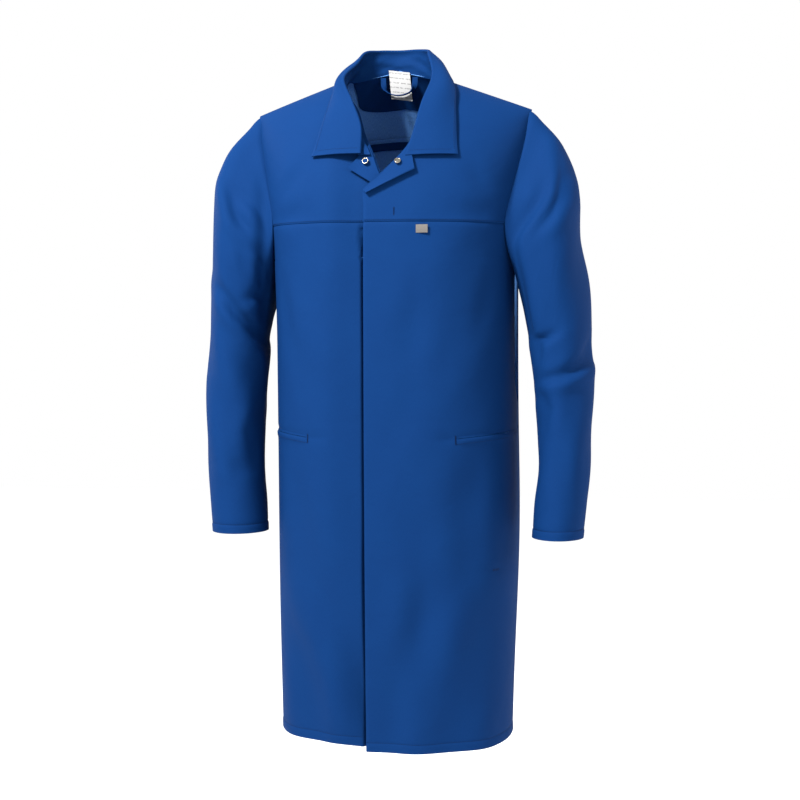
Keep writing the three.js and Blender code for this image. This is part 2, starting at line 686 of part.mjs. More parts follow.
function addSleeve({ name, side }) {
  const upper = sleeveLength(side, null, ELBOW_DROP - SEAM_GAP);
  addSheet(`${name}_upper_sleeve`, "cloth", upper, SLEEVE_COLUMNS, 8, 0, CLOTH, true);

  const lower = sleeveLength(side, ELBOW_DROP, SLEEVE_DROP);
  const slit = cuffSlit(side);
  addMesh(`${name}_lower_sleeve`, "cloth", cut(sheetGeometry(lower, SLEEVE_COLUMNS, 6, 0, CLOTH, true), slit));

  const hem = sleeveLength(side, SLEEVE_DROP - HEM_HEIGHT, SLEEVE_DROP);
  const hemShell = sheetGeometry(hem, SLEEVE_COLUMNS, 1, FACING_DEPTH, FACING_DEPTH + CLOTH, true);
  addMesh(`${name}_cuff_hem`, "inside", cut(hemShell, slit));

  const placketTurns = [CUFF_SLIT_TURN - CUFF_COLUMN, CUFF_SLIT_TURN + CUFF_COLUMN];
  const placketTop = SLEEVE_DROP - CUFF_SLIT_HEIGHT - 6;
  const placket = sleeveLength(side, placketTop, SLEEVE_DROP - 2, placketTurns);
  addSheet(`${name}_cuff_placket`, "inside", placket, 2, 3, FLY_DEPTH, FLY_DEPTH + CLOTH);

  const studFall = 1 - HEM_HEIGHT / 2 / (SLEEVE_DROP - armholeDrop(CUFF_STUD_TURN));
  const inside = insideSleeve(side, CUFF_STUD_TURN, studFall, -STUD_GAP);
  const outside = insideSleeve(side, CUFF_STUD_TURN, studFall, -STUD_GAP - STUD_HEIGHT / 2);
  addMesh(`${name}_cuff_stud`, "metal", stand(ringStud(), inside, outside.sub(inside).normalize()));
}

// An open-ring press-stud cap, standing on its flat underside at z = 0.
function ringStud() {
  const profile = [
    [0, 0],
    [STUD_RADIUS, 0],
    [STUD_RADIUS, STUD_HEIGHT * 0.3],
    [STUD_RADIUS * 0.86, STUD_HEIGHT * 0.5],
    [STUD_RADIUS * 0.66, STUD_HEIGHT * 0.3],
    [0, STUD_HEIGHT * 0.25],
  ].map(([x, y]) => new THREE.Vector2(x, y));
  const cap = new THREE.LatheGeometry(profile, 14);
  return cap.rotateX(Math.PI / 2);
}

SIDES.forEach(addSleeve);

// ---------------------------------------------------------------- collar and lapels

const P = (x, y, z) => new THREE.Vector3(x, y, z);

function backNeckPoint(x) {
  const roll = neckSeamRoll(x);
  return bodyPoint(1, turnOf(x, shoulderDrop(x) + dropOfRoll(roll)), roll);
}

// A curve round the neck from the right front by way of the back to the left front. Its points
// are given from the middle of the back to the left front, the fourth of eight at the shoulder.
function roundNeck(points) {
  const right = points.slice(1).map((p) => P(-p.x, p.y, p.z));
  return new THREE.CatmullRomCurve3([...right.reverse(), ...points]);
}

const neckSeam = roundNeck([
  backNeckPoint(0),
  backNeckPoint(NECK_HALF * 0.55),
  backNeckPoint(NECK_HALF * 0.9),
  P(NECK_HALF, 2, 0),
  ...[32, 66, 99, 124].map((drop) => onBody(-1, neckEdge(drop), drop, 0)),
]);
const standTop = COLLAR_STAND_HEIGHT - shoulderDrop(0) - 17;
const collarFold = roundNeck([
  P(0, NECK_BACK + 6, standTop),
  P(NECK_HALF * 0.45, NECK_BACK - 3, standTop - 2),
  P(NECK_HALF * 0.72, NECK_BACK * 0.5, standTop - 7),
  P(NECK_HALF * 0.8, 0, standTop - 14),
  ...[
    [14, 5, 15],
    [58, 1, 16],
    [97, 0, 10],
    [126, 4, 5],
  ].map(([drop, out, lift]) => onBody(-1, neckEdge(drop) + out - 7, drop, -lift)),
]);
const collarEdge = roundNeck([
  onBody(1, 0, COLLAR_BACK_EDGE, -COLLAR_LIFT),
  onBody(1, NECK_HALF * 0.6, COLLAR_BACK_EDGE, -COLLAR_LIFT),
  onBody(1, NECK_HALF, COLLAR_BACK_EDGE + 4, -COLLAR_LIFT),
  P(NECK_HALF + 12, 2, COLLAR_LIFT - shoulderDrop(NECK_HALF + 12)),
  ...[
    [90, 34],
    [98, 70],
    [104, 99],
    [109, 123],
  ].map(([x, drop]) => onBody(-1, x, drop, -COLLAR_LIFT)),
]);

// The cloth between two of the curves, crowned outwards; reach -1 to 1 runs from right to left.
function collarCloth(from, to, start, end, crown, span = [0, 1]) {
  return (u, v, depth) => {
    const k = (lerp(start, end, u) + 1) / 2;
    const a = from.getPoint(k);
    const b = to.getPoint(k);
    const along = from.getPoint(Math.min(k + 0.01, 1)).sub(from.getPoint(Math.max(k - 0.01, 0)));
    const out = along.cross(b.clone().sub(a)).normalize();
    if (out.dot(P(a.x, a.y, 40)) < 0) {
      out.negate();
    }
    const across = lerp(span[0], span[1], v);
    return a.lerp(b, across).addScaledVector(out, crown * Math.sin(Math.PI * across) - depth);
  };
}

const SHOULDER_STATION = 3 / 7;
const STAND_END = 0.9;
addSheet(
  "collar_stand",
  "cloth",
  collarCloth(neckSeam, collarFold, -STAND_END, STAND_END, 0, [0.15, 0.9]),
  28,
  3,
  FACING_DEPTH,
  FACING_DEPTH + CLOTH,
);
addSheet(
  "collar_fall_back",
  "cloth",
  collarCloth(collarFold, collarEdge, -SHOULDER_STATION, SHOULDER_STATION, COLLAR_CROWN),
  16,
  4,
  0,
  CLOTH,
);
for (const { name, side } of SIDES) {
  const start = (SHOULDER_STATION + 0.003) * side;
  const wing = collarCloth(collarFold, collarEdge, start, side, COLLAR_CROWN);
  addSheet(`${name}_collar_wing`, "cloth", wing, 8, 5, 0, CLOTH);
}

// A lapel is the front's top corner turned back onto the yoke: wide at the collar, then tapering.
function addLapel({ name, side, sink }) {
  const length = side > 0 ? 1 : 0.56;
  const ease = side > 0 ? 0 : UNDER_LAPEL_EASE;
  const lift = (v) => CLOTH + lerp(LAPEL_SEAT, LAPEL_LIFT, v) + ease;
  const lapel = (u, v, depth) => {
    const fall = u * length;
    const foldX = lerp(neckEdge(127), -FRONT_OVERLAP + 3, fall);
    const foldDrop = lerp(127, LAPEL_BREAK, fall);
    const x = lerp(foldX, lerp(LAPEL_TIP_X, -FRONT_OVERLAP + 6, fall), v);
    const drop = lerp(foldDrop, lerp(LAPEL_TIP_DROP, LAPEL_BREAK + 7, fall), v);
    const p = onBody(-1, x, drop, depth - lift(v) + sink(x));
    p.x *= side;
    return p;
  };
  addSheet(`${name}_lapel`, "cloth", lapel, 6, 2, 0, CLOTH);

  const studX = (neckEdge(127) + LAPEL_TIP_X) / 2 - 12;
  const studDrop = (127 + LAPEL_TIP_DROP) / 2 + 6;
  const depth = sink(studX) - lift(0.5) - STUD_GAP;
  const inside = onBody(-1, studX, studDrop, depth);
  const outside = onBody(-1, studX, studDrop, depth - STUD_HEIGHT);
  inside.x *= side;
  outside.x *= side;
  addMesh(`${name}_neck_stud`, "metal", stand(ringStud(), inside, outside.sub(inside).normalize()));
}

SIDES.forEach(addLapel);

// ---------------------------------------------------------------- loop, label and tag

function hangerLoop() {
  const top = LOOP_TOP;
  const bottom = top - LOOP_DEPTH;
  const inner = LOOP_HALF - LOOP_BAND;
  const corner = LOOP_BAND;
  const shape = new THREE.Shape();
  shape.moveTo(-LOOP_HALF, top);
  shape.lineTo(-LOOP_HALF, bottom + corner);
  shape.quadraticCurveTo(-LOOP_HALF, bottom, -LOOP_HALF + corner, bottom);
  shape.lineTo(LOOP_HALF - corner, bottom);
  shape.quadraticCurveTo(LOOP_HALF, bottom, LOOP_HALF, bottom + corner);
  shape.lineTo(LOOP_HALF, top);
  shape.lineTo(inner, top);
  shape.lineTo(inner, bottom + LOOP_BAND);
  shape.lineTo(-inner, bottom + LOOP_BAND);
  shape.lineTo(-inner, top);
  shape.closePath();
  const band = new THREE.ExtrudeGeometry(shape, { depth: LOOP_THICKNESS, bevelEnabled: false, curveSegments: 4 });
  return band.rotateX(Math.PI / 2);
}

const loop = addMesh("hanger_loop", "cloth", hangerLoop());
loop.position.set(0, LOOP_Y, 0);

const label = addMesh("care_label", "label", new THREE.BoxGeometry(LABEL_WIDTH, 0.6, LABEL_HEIGHT));
label.position.set(0, LABEL_Y, LABEL_TOP - LABEL_HEIGHT / 2);

const tagPlace = onBody(-1, TAG_X, FRONT_YOKE_DROP + TAG_HEIGHT / 2, -STUD_GAP - 0.4);
const tagOut = onBody(-1, TAG_X, FRONT_YOKE_DROP + TAG_HEIGHT / 2, -STUD_GAP - 2).sub(tagPlace).normalize();
const tagPlate = new THREE.BoxGeometry(TAG_WIDTH, TAG_HEIGHT, 0.8);
addMesh("chest_tag", "tag", stand(tagPlate, tagPlace, tagOut));

export default coat;
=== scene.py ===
"""The looks of a men's lab coat with a concealed press-stud front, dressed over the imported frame.

Sizes inside the classes are in millimetres and meshes are in metres. +X is the wearer's left and
the front faces -Y. A drop is measured down from the tops of the shoulder seams.
"""

from __future__ import annotations

import json
import logging
import math
from dataclasses import dataclass, field
from enum import Enum
from typing import Any, Sequence

import bmesh
import bpy
import numpy as np
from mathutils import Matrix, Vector

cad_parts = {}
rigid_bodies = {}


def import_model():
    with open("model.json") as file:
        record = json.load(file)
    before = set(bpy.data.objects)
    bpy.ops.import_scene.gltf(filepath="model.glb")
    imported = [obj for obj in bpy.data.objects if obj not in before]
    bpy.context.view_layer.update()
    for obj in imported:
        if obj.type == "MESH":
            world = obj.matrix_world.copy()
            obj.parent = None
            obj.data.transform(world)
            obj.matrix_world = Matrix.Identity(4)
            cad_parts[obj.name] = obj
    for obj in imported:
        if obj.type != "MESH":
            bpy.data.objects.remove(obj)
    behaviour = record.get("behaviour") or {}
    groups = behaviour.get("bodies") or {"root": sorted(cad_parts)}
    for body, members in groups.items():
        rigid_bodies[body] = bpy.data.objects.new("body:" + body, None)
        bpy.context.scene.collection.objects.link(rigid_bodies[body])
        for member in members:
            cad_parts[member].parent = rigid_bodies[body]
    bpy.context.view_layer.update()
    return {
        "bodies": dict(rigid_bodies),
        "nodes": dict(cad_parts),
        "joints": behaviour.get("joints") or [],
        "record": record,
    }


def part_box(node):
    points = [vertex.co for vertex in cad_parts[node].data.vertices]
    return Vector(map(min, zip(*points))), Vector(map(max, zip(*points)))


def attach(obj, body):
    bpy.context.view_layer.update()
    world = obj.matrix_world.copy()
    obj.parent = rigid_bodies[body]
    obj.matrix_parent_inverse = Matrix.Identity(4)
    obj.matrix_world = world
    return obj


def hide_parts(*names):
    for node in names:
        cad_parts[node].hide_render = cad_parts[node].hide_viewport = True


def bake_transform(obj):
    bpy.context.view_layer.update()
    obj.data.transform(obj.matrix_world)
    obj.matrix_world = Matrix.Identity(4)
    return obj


LOG = logging.getLogger("lab_coat")
MM = 0.001
Points = np.ndarray
Colour = tuple[float, float, float]
Place = tuple[float, float, float]


class Side(Enum):
    """The wearer's two sides; the value is the sign of X."""

    LEFT = 1
    RIGHT = -1

    @property
    def label(self) -> str:
        """The side's name as the frame's nodes begin."""
        return self.name.lower()


class Face(Enum):
    """The front or the back of the coat; the value is the sign of Y."""

    FRONT = -1
    BACK = 1


# ---------------------------------------------------------------- shader maths


class Value:
    """One output of a shader node. Python operators on it add Math nodes."""

    def __init__(self, finish: "NodeTree", socket: Any) -> None:
        """Wraps an output socket of a finish's node tree."""
        self.finish = finish
        self.socket = socket

    def _math(self, operation: str, first: Any, second: Any) -> "Value":
        """Adds one Math node and gives its output."""
        return self.finish.add("ShaderNodeMath", {"operation": operation}, {0: first, 1: second})

    def __add__(self, other: Any) -> "Value":
        """self + other."""
        return self._math("ADD", self, other)

    def __radd__(self, other: Any) -> "Value":
        """other + self."""
        return self._math("ADD", other, self)

    def __sub__(self, other: Any) -> "Value":
        """self - other."""
        return self._math("SUBTRACT", self, other)

    def __rsub__(self, other: Any) -> "Value":
        """other - self."""
        return self._math("SUBTRACT", other, self)

    def __mul__(self, other: Any) -> "Value":
        """self * other."""
        return self._math("MULTIPLY", self, other)

    def __rmul__(self, other: Any) -> "Value":
        """other * self."""
        return self._math("MULTIPLY", other, self)

    def __gt__(self, other: Any) -> "Value":
        """1 where self is over other."""
        return self._math("GREATER_THAN", self, other)


class NodeTree:
    """A material's node tree, with one method that adds any node."""

    def __init__(self, name: str) -> None:
        """Makes an empty material."""
        self.material = bpy.data.materials.new(name)
        self.material.use_nodes = True
        self.tree = self.material.node_tree
        self.tree.nodes.clear()

    def add(
        self,
        kind: str,
        settings: dict[str, Any] | None = None,
        inputs: dict[int | str, Any] | None = None,
        output: int | str = 0,
    ) -> Value:
        """Adds a node.

        Args:
            kind: The node's type.
            settings: Its settings; "stops" sets a colour ramp's stops.
            inputs: Values or links of its sockets.
            output: Which output to give back.

        Returns:
            The wanted output.
        """
        node = self.tree.nodes.new(kind)
        for key, value in (settings or {}).items():
            if key == "stops":
                ramp = node.color_ramp.elements
                for index, (place, colour) in enumerate(value):
                    stop = ramp[index] if index < 2 else ramp.new(place)
                    stop.position = place
                    stop.color = (*colour, 1.0)
            else:
                setattr(node, key, value)
        for key, value in (inputs or {}).items():
            if isinstance(value, Value):
                self.tree.links.new(value.socket, node.inputs[key])
            else:
                node.inputs[key].default_value = value
        return Value(self, node.outputs[output])

    def mix(self, factor: Any, first: Any, second: Any) -> Value:
        """Mixes two colours.

        Args:
            factor: The share of the second colour.
            first: The first colour.
            second: The second colour.

        Returns:
            The mixed colour.
        """
        pair = [(*c, 1.0) if isinstance(c, tuple) else c for c in (first, second)]
        return self.add(
            "ShaderNodeMix", {"data_type": "RGBA"}, {0: factor, 6: pair[0], 7: pair[1]}, output=2
        )

    def surface(self, inputs: dict[str, Any]) -> None:
        """Ends the tree in a Principled shader with the given socket values or links."""
        shader = self.add("ShaderNodeBsdfPrincipled", inputs=inputs)
        end = self.tree.nodes.new("ShaderNodeOutputMaterial")
        self.tree.links.new(shader.socket, end.inputs["Surface"])


# ---------------------------------------------------------------- finishes


@dataclass(frozen=True)
class TwillFinish:
    """Woven polyester-cotton twill: colour mottle, slubs, a twill line and a soft sheen."""

    name: str
    colour: Colour
    fleck: Colour
    fleck_share: float = 0.25
    slub_stretch: float = 6.0
    slub_contrast: float = 0.3
    twill_per_m: float = 900.0
    weave_height_mm: float = 0.12
    roughness: float = 0.78
    sheen: float = 0.0
    sheen_tint: Colour = (0.08, 0.36, 1.0)
    gloss: float = 0.03
    wrinkle_mm: float = 2.2  # height of the soft wrinkles that pressing leaves

    def build(self) -> Any:
        """Makes the material.

        Returns:
            The Blender material.
        """
        nodes = NodeTree(self.name)
        place = nodes.add("ShaderNodeUVMap", {"uv_map": "weave"})
        slub_place = nodes.add(
            "ShaderNodeMapping", inputs={"Vector": place, "Scale": (self.slub_stretch, 1.0, 1.0)}
        )
        slub = nodes.add(
            "ShaderNodeTexNoise", inputs={"Vector": slub_place, "Scale": 260.0, "Detail": 3.0}
        )
        mottle = nodes.add(
            "ShaderNodeTexNoise", inputs={"Vector": place, "Scale": 14.0, "Detail": 2.0}
        )
        twill = nodes.add(
            "ShaderNodeTexWave",
            {"wave_type": "BANDS", "bands_direction": "DIAGONAL"},
            {"Vector": place, "Scale": self.twill_per_m, "Distortion": 0.6, "Detail": 1.0},
            output="Fac",
        )
        fleck = slub * self.slub_contrast + mottle * 0.15 + twill * 0.1 + (
            self.fleck_share - 0.5 * self.slub_contrast - 0.125
        )
        height = twill * 0.6 + slub * 0.8
        rumple = nodes.add(
            "ShaderNodeTexNoise", inputs={"Vector": place, "Scale": 15.0, "Detail": 3.0, "Distortion": 0.6}
        )
        wrinkles = nodes.add(
            "ShaderNodeBump", inputs={"Strength": 0.6, "Distance": self.wrinkle_mm * MM, "Height": rumple}
        )
        bump = nodes.add(
            "ShaderNodeBump",
            inputs={
                "Strength": 0.35,
                "Distance": self.weave_height_mm * MM,
                "Height": height,
                "Normal": wrinkles,
            },
        )
        nodes.surface(
            {
                "Base Color": nodes.mix(fleck, self.colour, self.fleck),
                "Roughness": mottle * 0.08 + (self.roughness - 0.04),
                "Sheen Weight": self.sheen,
                "Sheen Roughness": 0.45,
                "Sheen Tint": (*self.sheen_tint, 1.0),
                "Specular IOR Level": self.gloss,
                "Normal": bump,
            }
        )
        return nodes.material


@dataclass(frozen=True)
class ThreadFinish:
    """Sewing thread, a little lighter or darker along its length."""

    name: str
    colour: Colour
    worn: Colour

    def build(self) -> Any:
        """Makes the material.

        Returns:
            The Blender material.
        """
        nodes = NodeTree(self.name)
        place = nodes.add("ShaderNodeTexCoord", output="Object")
        wear = nodes.add(
            "ShaderNodeTexNoise", inputs={"Vector": place, "Scale": 320.0, "Detail": 1.0}
        )
        nodes.surface(
            {
                "Base Color": nodes.mix(wear, self.colour, self.worn),
                "Roughness": wear * 0.2 + 0.5,
                "Specular IOR Level": 0.05,
            }
        )
        return nodes.material


@dataclass(frozen=True)
class MetalFinish:
    """Plated press-stud metal with fine rubbing."""

    name: str
    colour: Colour
    rubbed: Colour
    roughness: float = 0.28

    def build(self) -> Any:
        """Makes the material.

        Returns:
            The Blender material.
        """
        nodes = NodeTree(self.name)
        place = nodes.add("ShaderNodeTexCoord", output="Object")
        rub = nodes.add(
            "ShaderNodeTexNoise", inputs={"Vector": place, "Scale": 700.0, "Detail": 4.0}
        )
        bump = nodes.add(
            "ShaderNodeBump", inputs={"Strength": 0.15, "Distance": 0.05 * MM, "Height": rub}
        )
        nodes.surface(
            {
                "Base Color": nodes.mix(rub, self.colour, self.rubbed),
                "Roughness": rub * 0.2 + (self.roughness - 0.1),
                "Metallic": 1.0,
                "Normal": bump,
            }
        )
        return nodes.material


@dataclass(frozen=True)
class LabelFinish:
    """A woven satin label or tab, with plain printed bars where care text would stand."""

    name: str
    colour: Colour
    print_colour: Colour
    bars: float = 0.0
    weave_per_m: float = 1500.0

    def build(self) -> Any:
        """Makes the material.

        Returns:
            The Blender material.
        """
        nodes = NodeTree(self.name)
        place = nodes.add("ShaderNodeUVMap", {"uv_map": "weave"})
        thread = nodes.add(
            "ShaderNodeTexWave",
            {"wave_type": "BANDS", "bands_direction": "Y"},
            {"Vector": place, "Scale": self.weave_per_m, "Distortion": 0.3},
            output="Fac",
        )
        bars = nodes.add(
            "ShaderNodeTexWave",
            {"wave_type": "BANDS", "bands_direction": "Y"},
            {"Vector": place, "Scale": 42.0, "Distortion": 0.0},
            output="Fac",
        )
        words = nodes.add(
            "ShaderNodeTexNoise", inputs={"Vector": place, "Scale": 300.0, "Detail": 2.0}
        )
        printed = (bars > 0.86) * (words > 0.46) * self.bars
        bump = nodes.add(
            "ShaderNodeBump", inputs={"Strength": 0.3, "Distance": 0.1 * MM, "Height": thread}
        )
        nodes.surface(
            {
                "Base Color": nodes.mix(printed, self.colour, self.print_colour),
                "Roughness": thread * 0.15 + 0.5,
                "Sheen Weight": 0.1,
                "Normal": bump,
            }
        )
        return nodes.material


@dataclass
class Wardrobe:
    """Every finish of the coat, built once."""

    right_side: TwillFinish = TwillFinish(
        "twill_right_side", colour=(0.0014, 0.0150, 0.070), fleck=(0.0034, 0.033, 0.124), slub_contrast=0.45
    )
    wrong_side: TwillFinish = TwillFinish(
        "twill_wrong_side",
        colour=(0.022, 0.085, 0.29),
        fleck=(0.13, 0.31, 0.62),
        fleck_share=0.45,
        slub_contrast=1.0,
        sheen=0.03,
    )
    thread: ThreadFinish = ThreadFinish(
        "sewing_thread", colour=(0.0015, 0.005, 0.022), worn=(0.004, 0.013, 0.05)
    )
    metal: MetalFinish = MetalFinish(
        "stud_metal", colour=(0.34, 0.32, 0.27), rubbed=(0.17, 0.15, 0.12)
    )
    label: LabelFinish = LabelFinish(
        "care_label_satin", colour=(0.27, 0.27, 0.27), print_colour=(0.03, 0.03, 0.035), bars=0.6
    )
    tab: LabelFinish = LabelFinish(
        "chest_tag_weave", colour=(0.075, 0.066, 0.060), print_colour=(0.04, 0.035, 0.035)
    )
    materials: dict[str, Any] = field(default_factory=dict)

    def hang(self) -> "Wardrobe":
        """Builds every material.

        Returns:
            The wardrobe itself.
        """
        for key in ("right_side", "wrong_side", "thread", "metal", "label", "tab"):
            self.materials[key] = getattr(self, key).build()
        return self

    def cloth(self) -> list[Any]:
        """The materials of a cloth shell: right side out, wrong side in."""
        return [self.materials["right_side"], self.materials["wrong_side"]]

    def lining(self) -> list[Any]:
        """The materials of an inner ply, whose right side faces in."""
        return [self.materials["wrong_side"], self.materials["right_side"]]


# ---------------------------------------------------------------- numbers and curves


def smooth(value: Any, low: float, high: float) -> Any:
    """A smooth step from 0 at low to 1 at high."""
    share = np.clip((np.asarray(value, float) - low) / (high - low), 0, 1)
    return share * share * (3 - 2 * share)


def blend(first: Any, second: Any, share: Any) -> Any:
    """first at share 0 and second at share 1."""
    return first + (second - first) * share


def bell(value: Any, middle: float, width: float) -> Any:
    """A bell curve: 1 at its middle."""
    return np.exp(-(((value - middle) / width) ** 2))


def hem_relief(drop: Any, line: float, groove: float = 0.45, run: float = 5.0) -> Any:
    """The stitched groove over a hem, and the fuller doubled cloth under it.

    Args:
        drop: Drop of each point.
        line: The stitch line's drop.
        groove: The groove's depth.
        run: How far the cloth takes to swell.

    Returns:
        Outward moves, in millimetres.
    """
    return 0.7 * smooth(drop, line, line + run) - groove * bell(drop, line, 1.6)


class Stations:
    """A smooth curve through (drop, value) stations."""

    def __init__(self, *stations: tuple[float, float]) -> None:
        """Keeps the stations, in order of drop."""
        self.drops = np.array([s[0] for s in stations], float)
        self.values = np.array([s[1] for s in stations], float)

    def __call__(self, drop: Any) -> np.ndarray:
        """The value at each drop.

        Args:
            drop: One or more drops.

        Returns:
            The values.
        """
        drop = np.asarray(drop, float)
        last = len(self.drops) - 1
        i = np.clip(np.searchsorted(self.drops, drop, side="left") - 1, 0, last - 1)
        before, after = np.maximum(i - 1, 0), np.minimum(i + 2, last)
        d, v = self.drops, self.values
        span = d[i + 1] - d[i]
        t = np.clip((drop - d[i]) / span, 0, 1)
        slope_from = (v[i + 1] - v[before]) / (d[i + 1] - d[before]) * span
        slope_to = (v[after] - v[i]) / (d[after] - d[i]) * span
        t2, t3 = t * t, t * t * t
        return (
            (2 * t3 - 3 * t2 + 1) * v[i]
            + (t3 - 2 * t2 + t) * slope_from
            + (3 * t2 - 2 * t3) * v[i + 1]
            + (t3 - t2) * slope_to
        )


class Spline:
    """A centripetal Catmull-Rom curve through points, by share of its spans."""

    def __init__(self, points: Sequence[Sequence[float]]) -> None:
        """Keeps the points, in order."""
        self.points = np.array(points, float)

    def __call__(self, share: Any) -> Points:
        """Points on the curve.

        Args:
            share: Shares from 0 to 1.

        Returns:
            The points.
        """
        p = self.points
        last = len(p) - 1
        along = np.clip(np.asarray(share, float), 0, 1) * last
        i = np.minimum(along.astype(int), last - 1)
        w = (along - i)[..., None]
        ahead, behind = 2 * p[0] - p[1], 2 * p[-1] - p[-2]
        q = np.vstack([ahead, p, behind])
        p0, p1, p2, p3 = q[i], q[i + 1], q[i + 2], q[i + 3]
        pairs = ((p0, p1), (p1, p2), (p2, p3))
        steps = [np.linalg.norm(b - a, axis=-1, keepdims=True) ** 0.5 for a, b in pairs]
        d0, d1, d2 = [np.maximum(step, 1e-4) for step in steps]
        t1 = ((p1 - p0) / d0 - (p2 - p0) / (d0 + d1) + (p2 - p1) / d1) * d1
        t2 = ((p2 - p1) / d1 - (p3 - p1) / (d1 + d2) + (p3 - p2) / d2) * d1
        c2 = -3 * p1 + 3 * p2 - 2 * t1 - t2
        c3 = 2 * p1 - 2 * p2 + t1 + t2
        return p1 + t1 * w + c2 * w * w + c3 * w * w * w


def spaced(start: float, stop: float, step: float, fine: Sequence[float] = ()) -> np.ndarray:
    """Even places from start to stop, with more of them at the ends and round fine lines.

    Args:
        start: The first place.
        stop: The last place.
        step: The longest step between two places.
        fine: Places that get close neighbours.

    Returns:
        The places in order.
    """
    places = list(np.linspace(start, stop, max(int(math.ceil((stop - start) / step)), 1) + 1))
    for line in [start, stop, *fine]:
        places += [line + offset for offset in (-2.4, -1.2, 0.0, 1.2, 2.4)]
    kept = np.unique(np.round([p for p in places if start <= p <= stop], 3))
    apart = np.concatenate([[True], np.diff(kept) > 0.5])
    apart[-1] = True
    return kept[apart]


@dataclass(frozen=True)
class Crease:
    """A fold line in the cloth: a dip along a path, with a ridge beside it."""

    path: tuple[tuple[float, float], ...]  # (distance from the middle, drop)
    depth: float
    width: float = 8.0
    ridge: float = 0.5  # share of the depth that stands up beside the dip

    def relief(self, x: np.ndarray, drop: np.ndarray) -> np.ndarray:
        """How far the crease moves the cloth outwards.

        Args:
            x: Distance from the middle towards the piece's own side.
            drop: Drop of each point.

        Returns:
            Outward moves, in millimetres.
        """
        nearest = np.full(x.shape, 1e9)
        beside = np.zeros(x.shape)
        along = np.zeros(x.shape)
        spans = [math.dist(a, b) for a, b in zip(self.path, self.path[1:])]
        done = 0.0
        for (a, b), span in zip(zip(self.path, self.path[1:]), spans):
            dx, dd = (b[0] - a[0]) / span, (b[1] - a[1]) / span
            share = np.clip(((x - a[0]) * dx + (drop - a[1]) * dd) / span, 0, 1)
            ex, ed = x - (a[0] + share * span * dx), drop - (a[1] + share * span * dd)
            away = np.hypot(ex, ed)
            closer = away < nearest
            nearest = np.where(closer, away, nearest)
            beside = np.where(closer, ex * dd - ed * dx, beside)
            along = np.where(closer, (done + share * span) / sum(spans), along)
            done += span
        strength = np.sin(np.pi * np.clip(along * 0.84 + 0.08, 0, 1)) ** 0.8
        dip = -bell(nearest, 0, self.width)
        ridge = self.ridge * bell(beside, 1.8 * self.width, 1.5 * self.width)
        near = np.exp(-((nearest / (4 * self.width)) ** 4))
        return self.depth * strength * (dip + ridge * near)


@dataclass(frozen=True)
class Undulation:
    """Slow waves in hanging cloth, from a few fixed sines."""

    height: float
    across: float  # wavelength across the cloth
    down: float  # wavelength down the cloth
    seed: int = 1

    def relief(self, x: np.ndarray, drop: np.ndarray) -> np.ndarray:
        """How far the waves move the cloth outwards.

        Args:
            x: Place across the cloth.
            drop: Drop of each point.

        Returns:
            Outward moves, in millimetres.
        """
        dice = np.random.default_rng(self.seed)
        total = np.zeros(np.broadcast(x, drop).shape)
        for _ in range(5):
            fx, fd = dice.uniform(0.5, 1.5, 2)
            lean, phase = dice.uniform(-0.4, 0.4), dice.uniform(0, 2 * np.pi)
            place = fx * (x + lean * drop) / self.across + fd * drop / self.down
            total += np.sin(2 * np.pi * place + phase)
        return self.height * total / 5


# ---------------------------------------------------------------- cloth shells


def grid_normals(points: Points, wrap: bool = False) -> Points:
    """Unit normals of a grid of points.

    Args:
        points: Columns by rows by 3.
        wrap: Whether the last column joins the first.

    Returns:
        The normals, columns by rows by 3.
    """
    if wrap:
        padded = np.concatenate([points[-1:], points, points[:1]])
        across = padded[2:] - padded[:-2]
    else:
        across = np.gradient(points, axis=0)
    down = np.gradient(points, axis=1)
    normal = np.cross(across, down)
    length = np.linalg.norm(normal, axis=-1, keepdims=True)
    return normal / np.maximum(length, 1e-9)


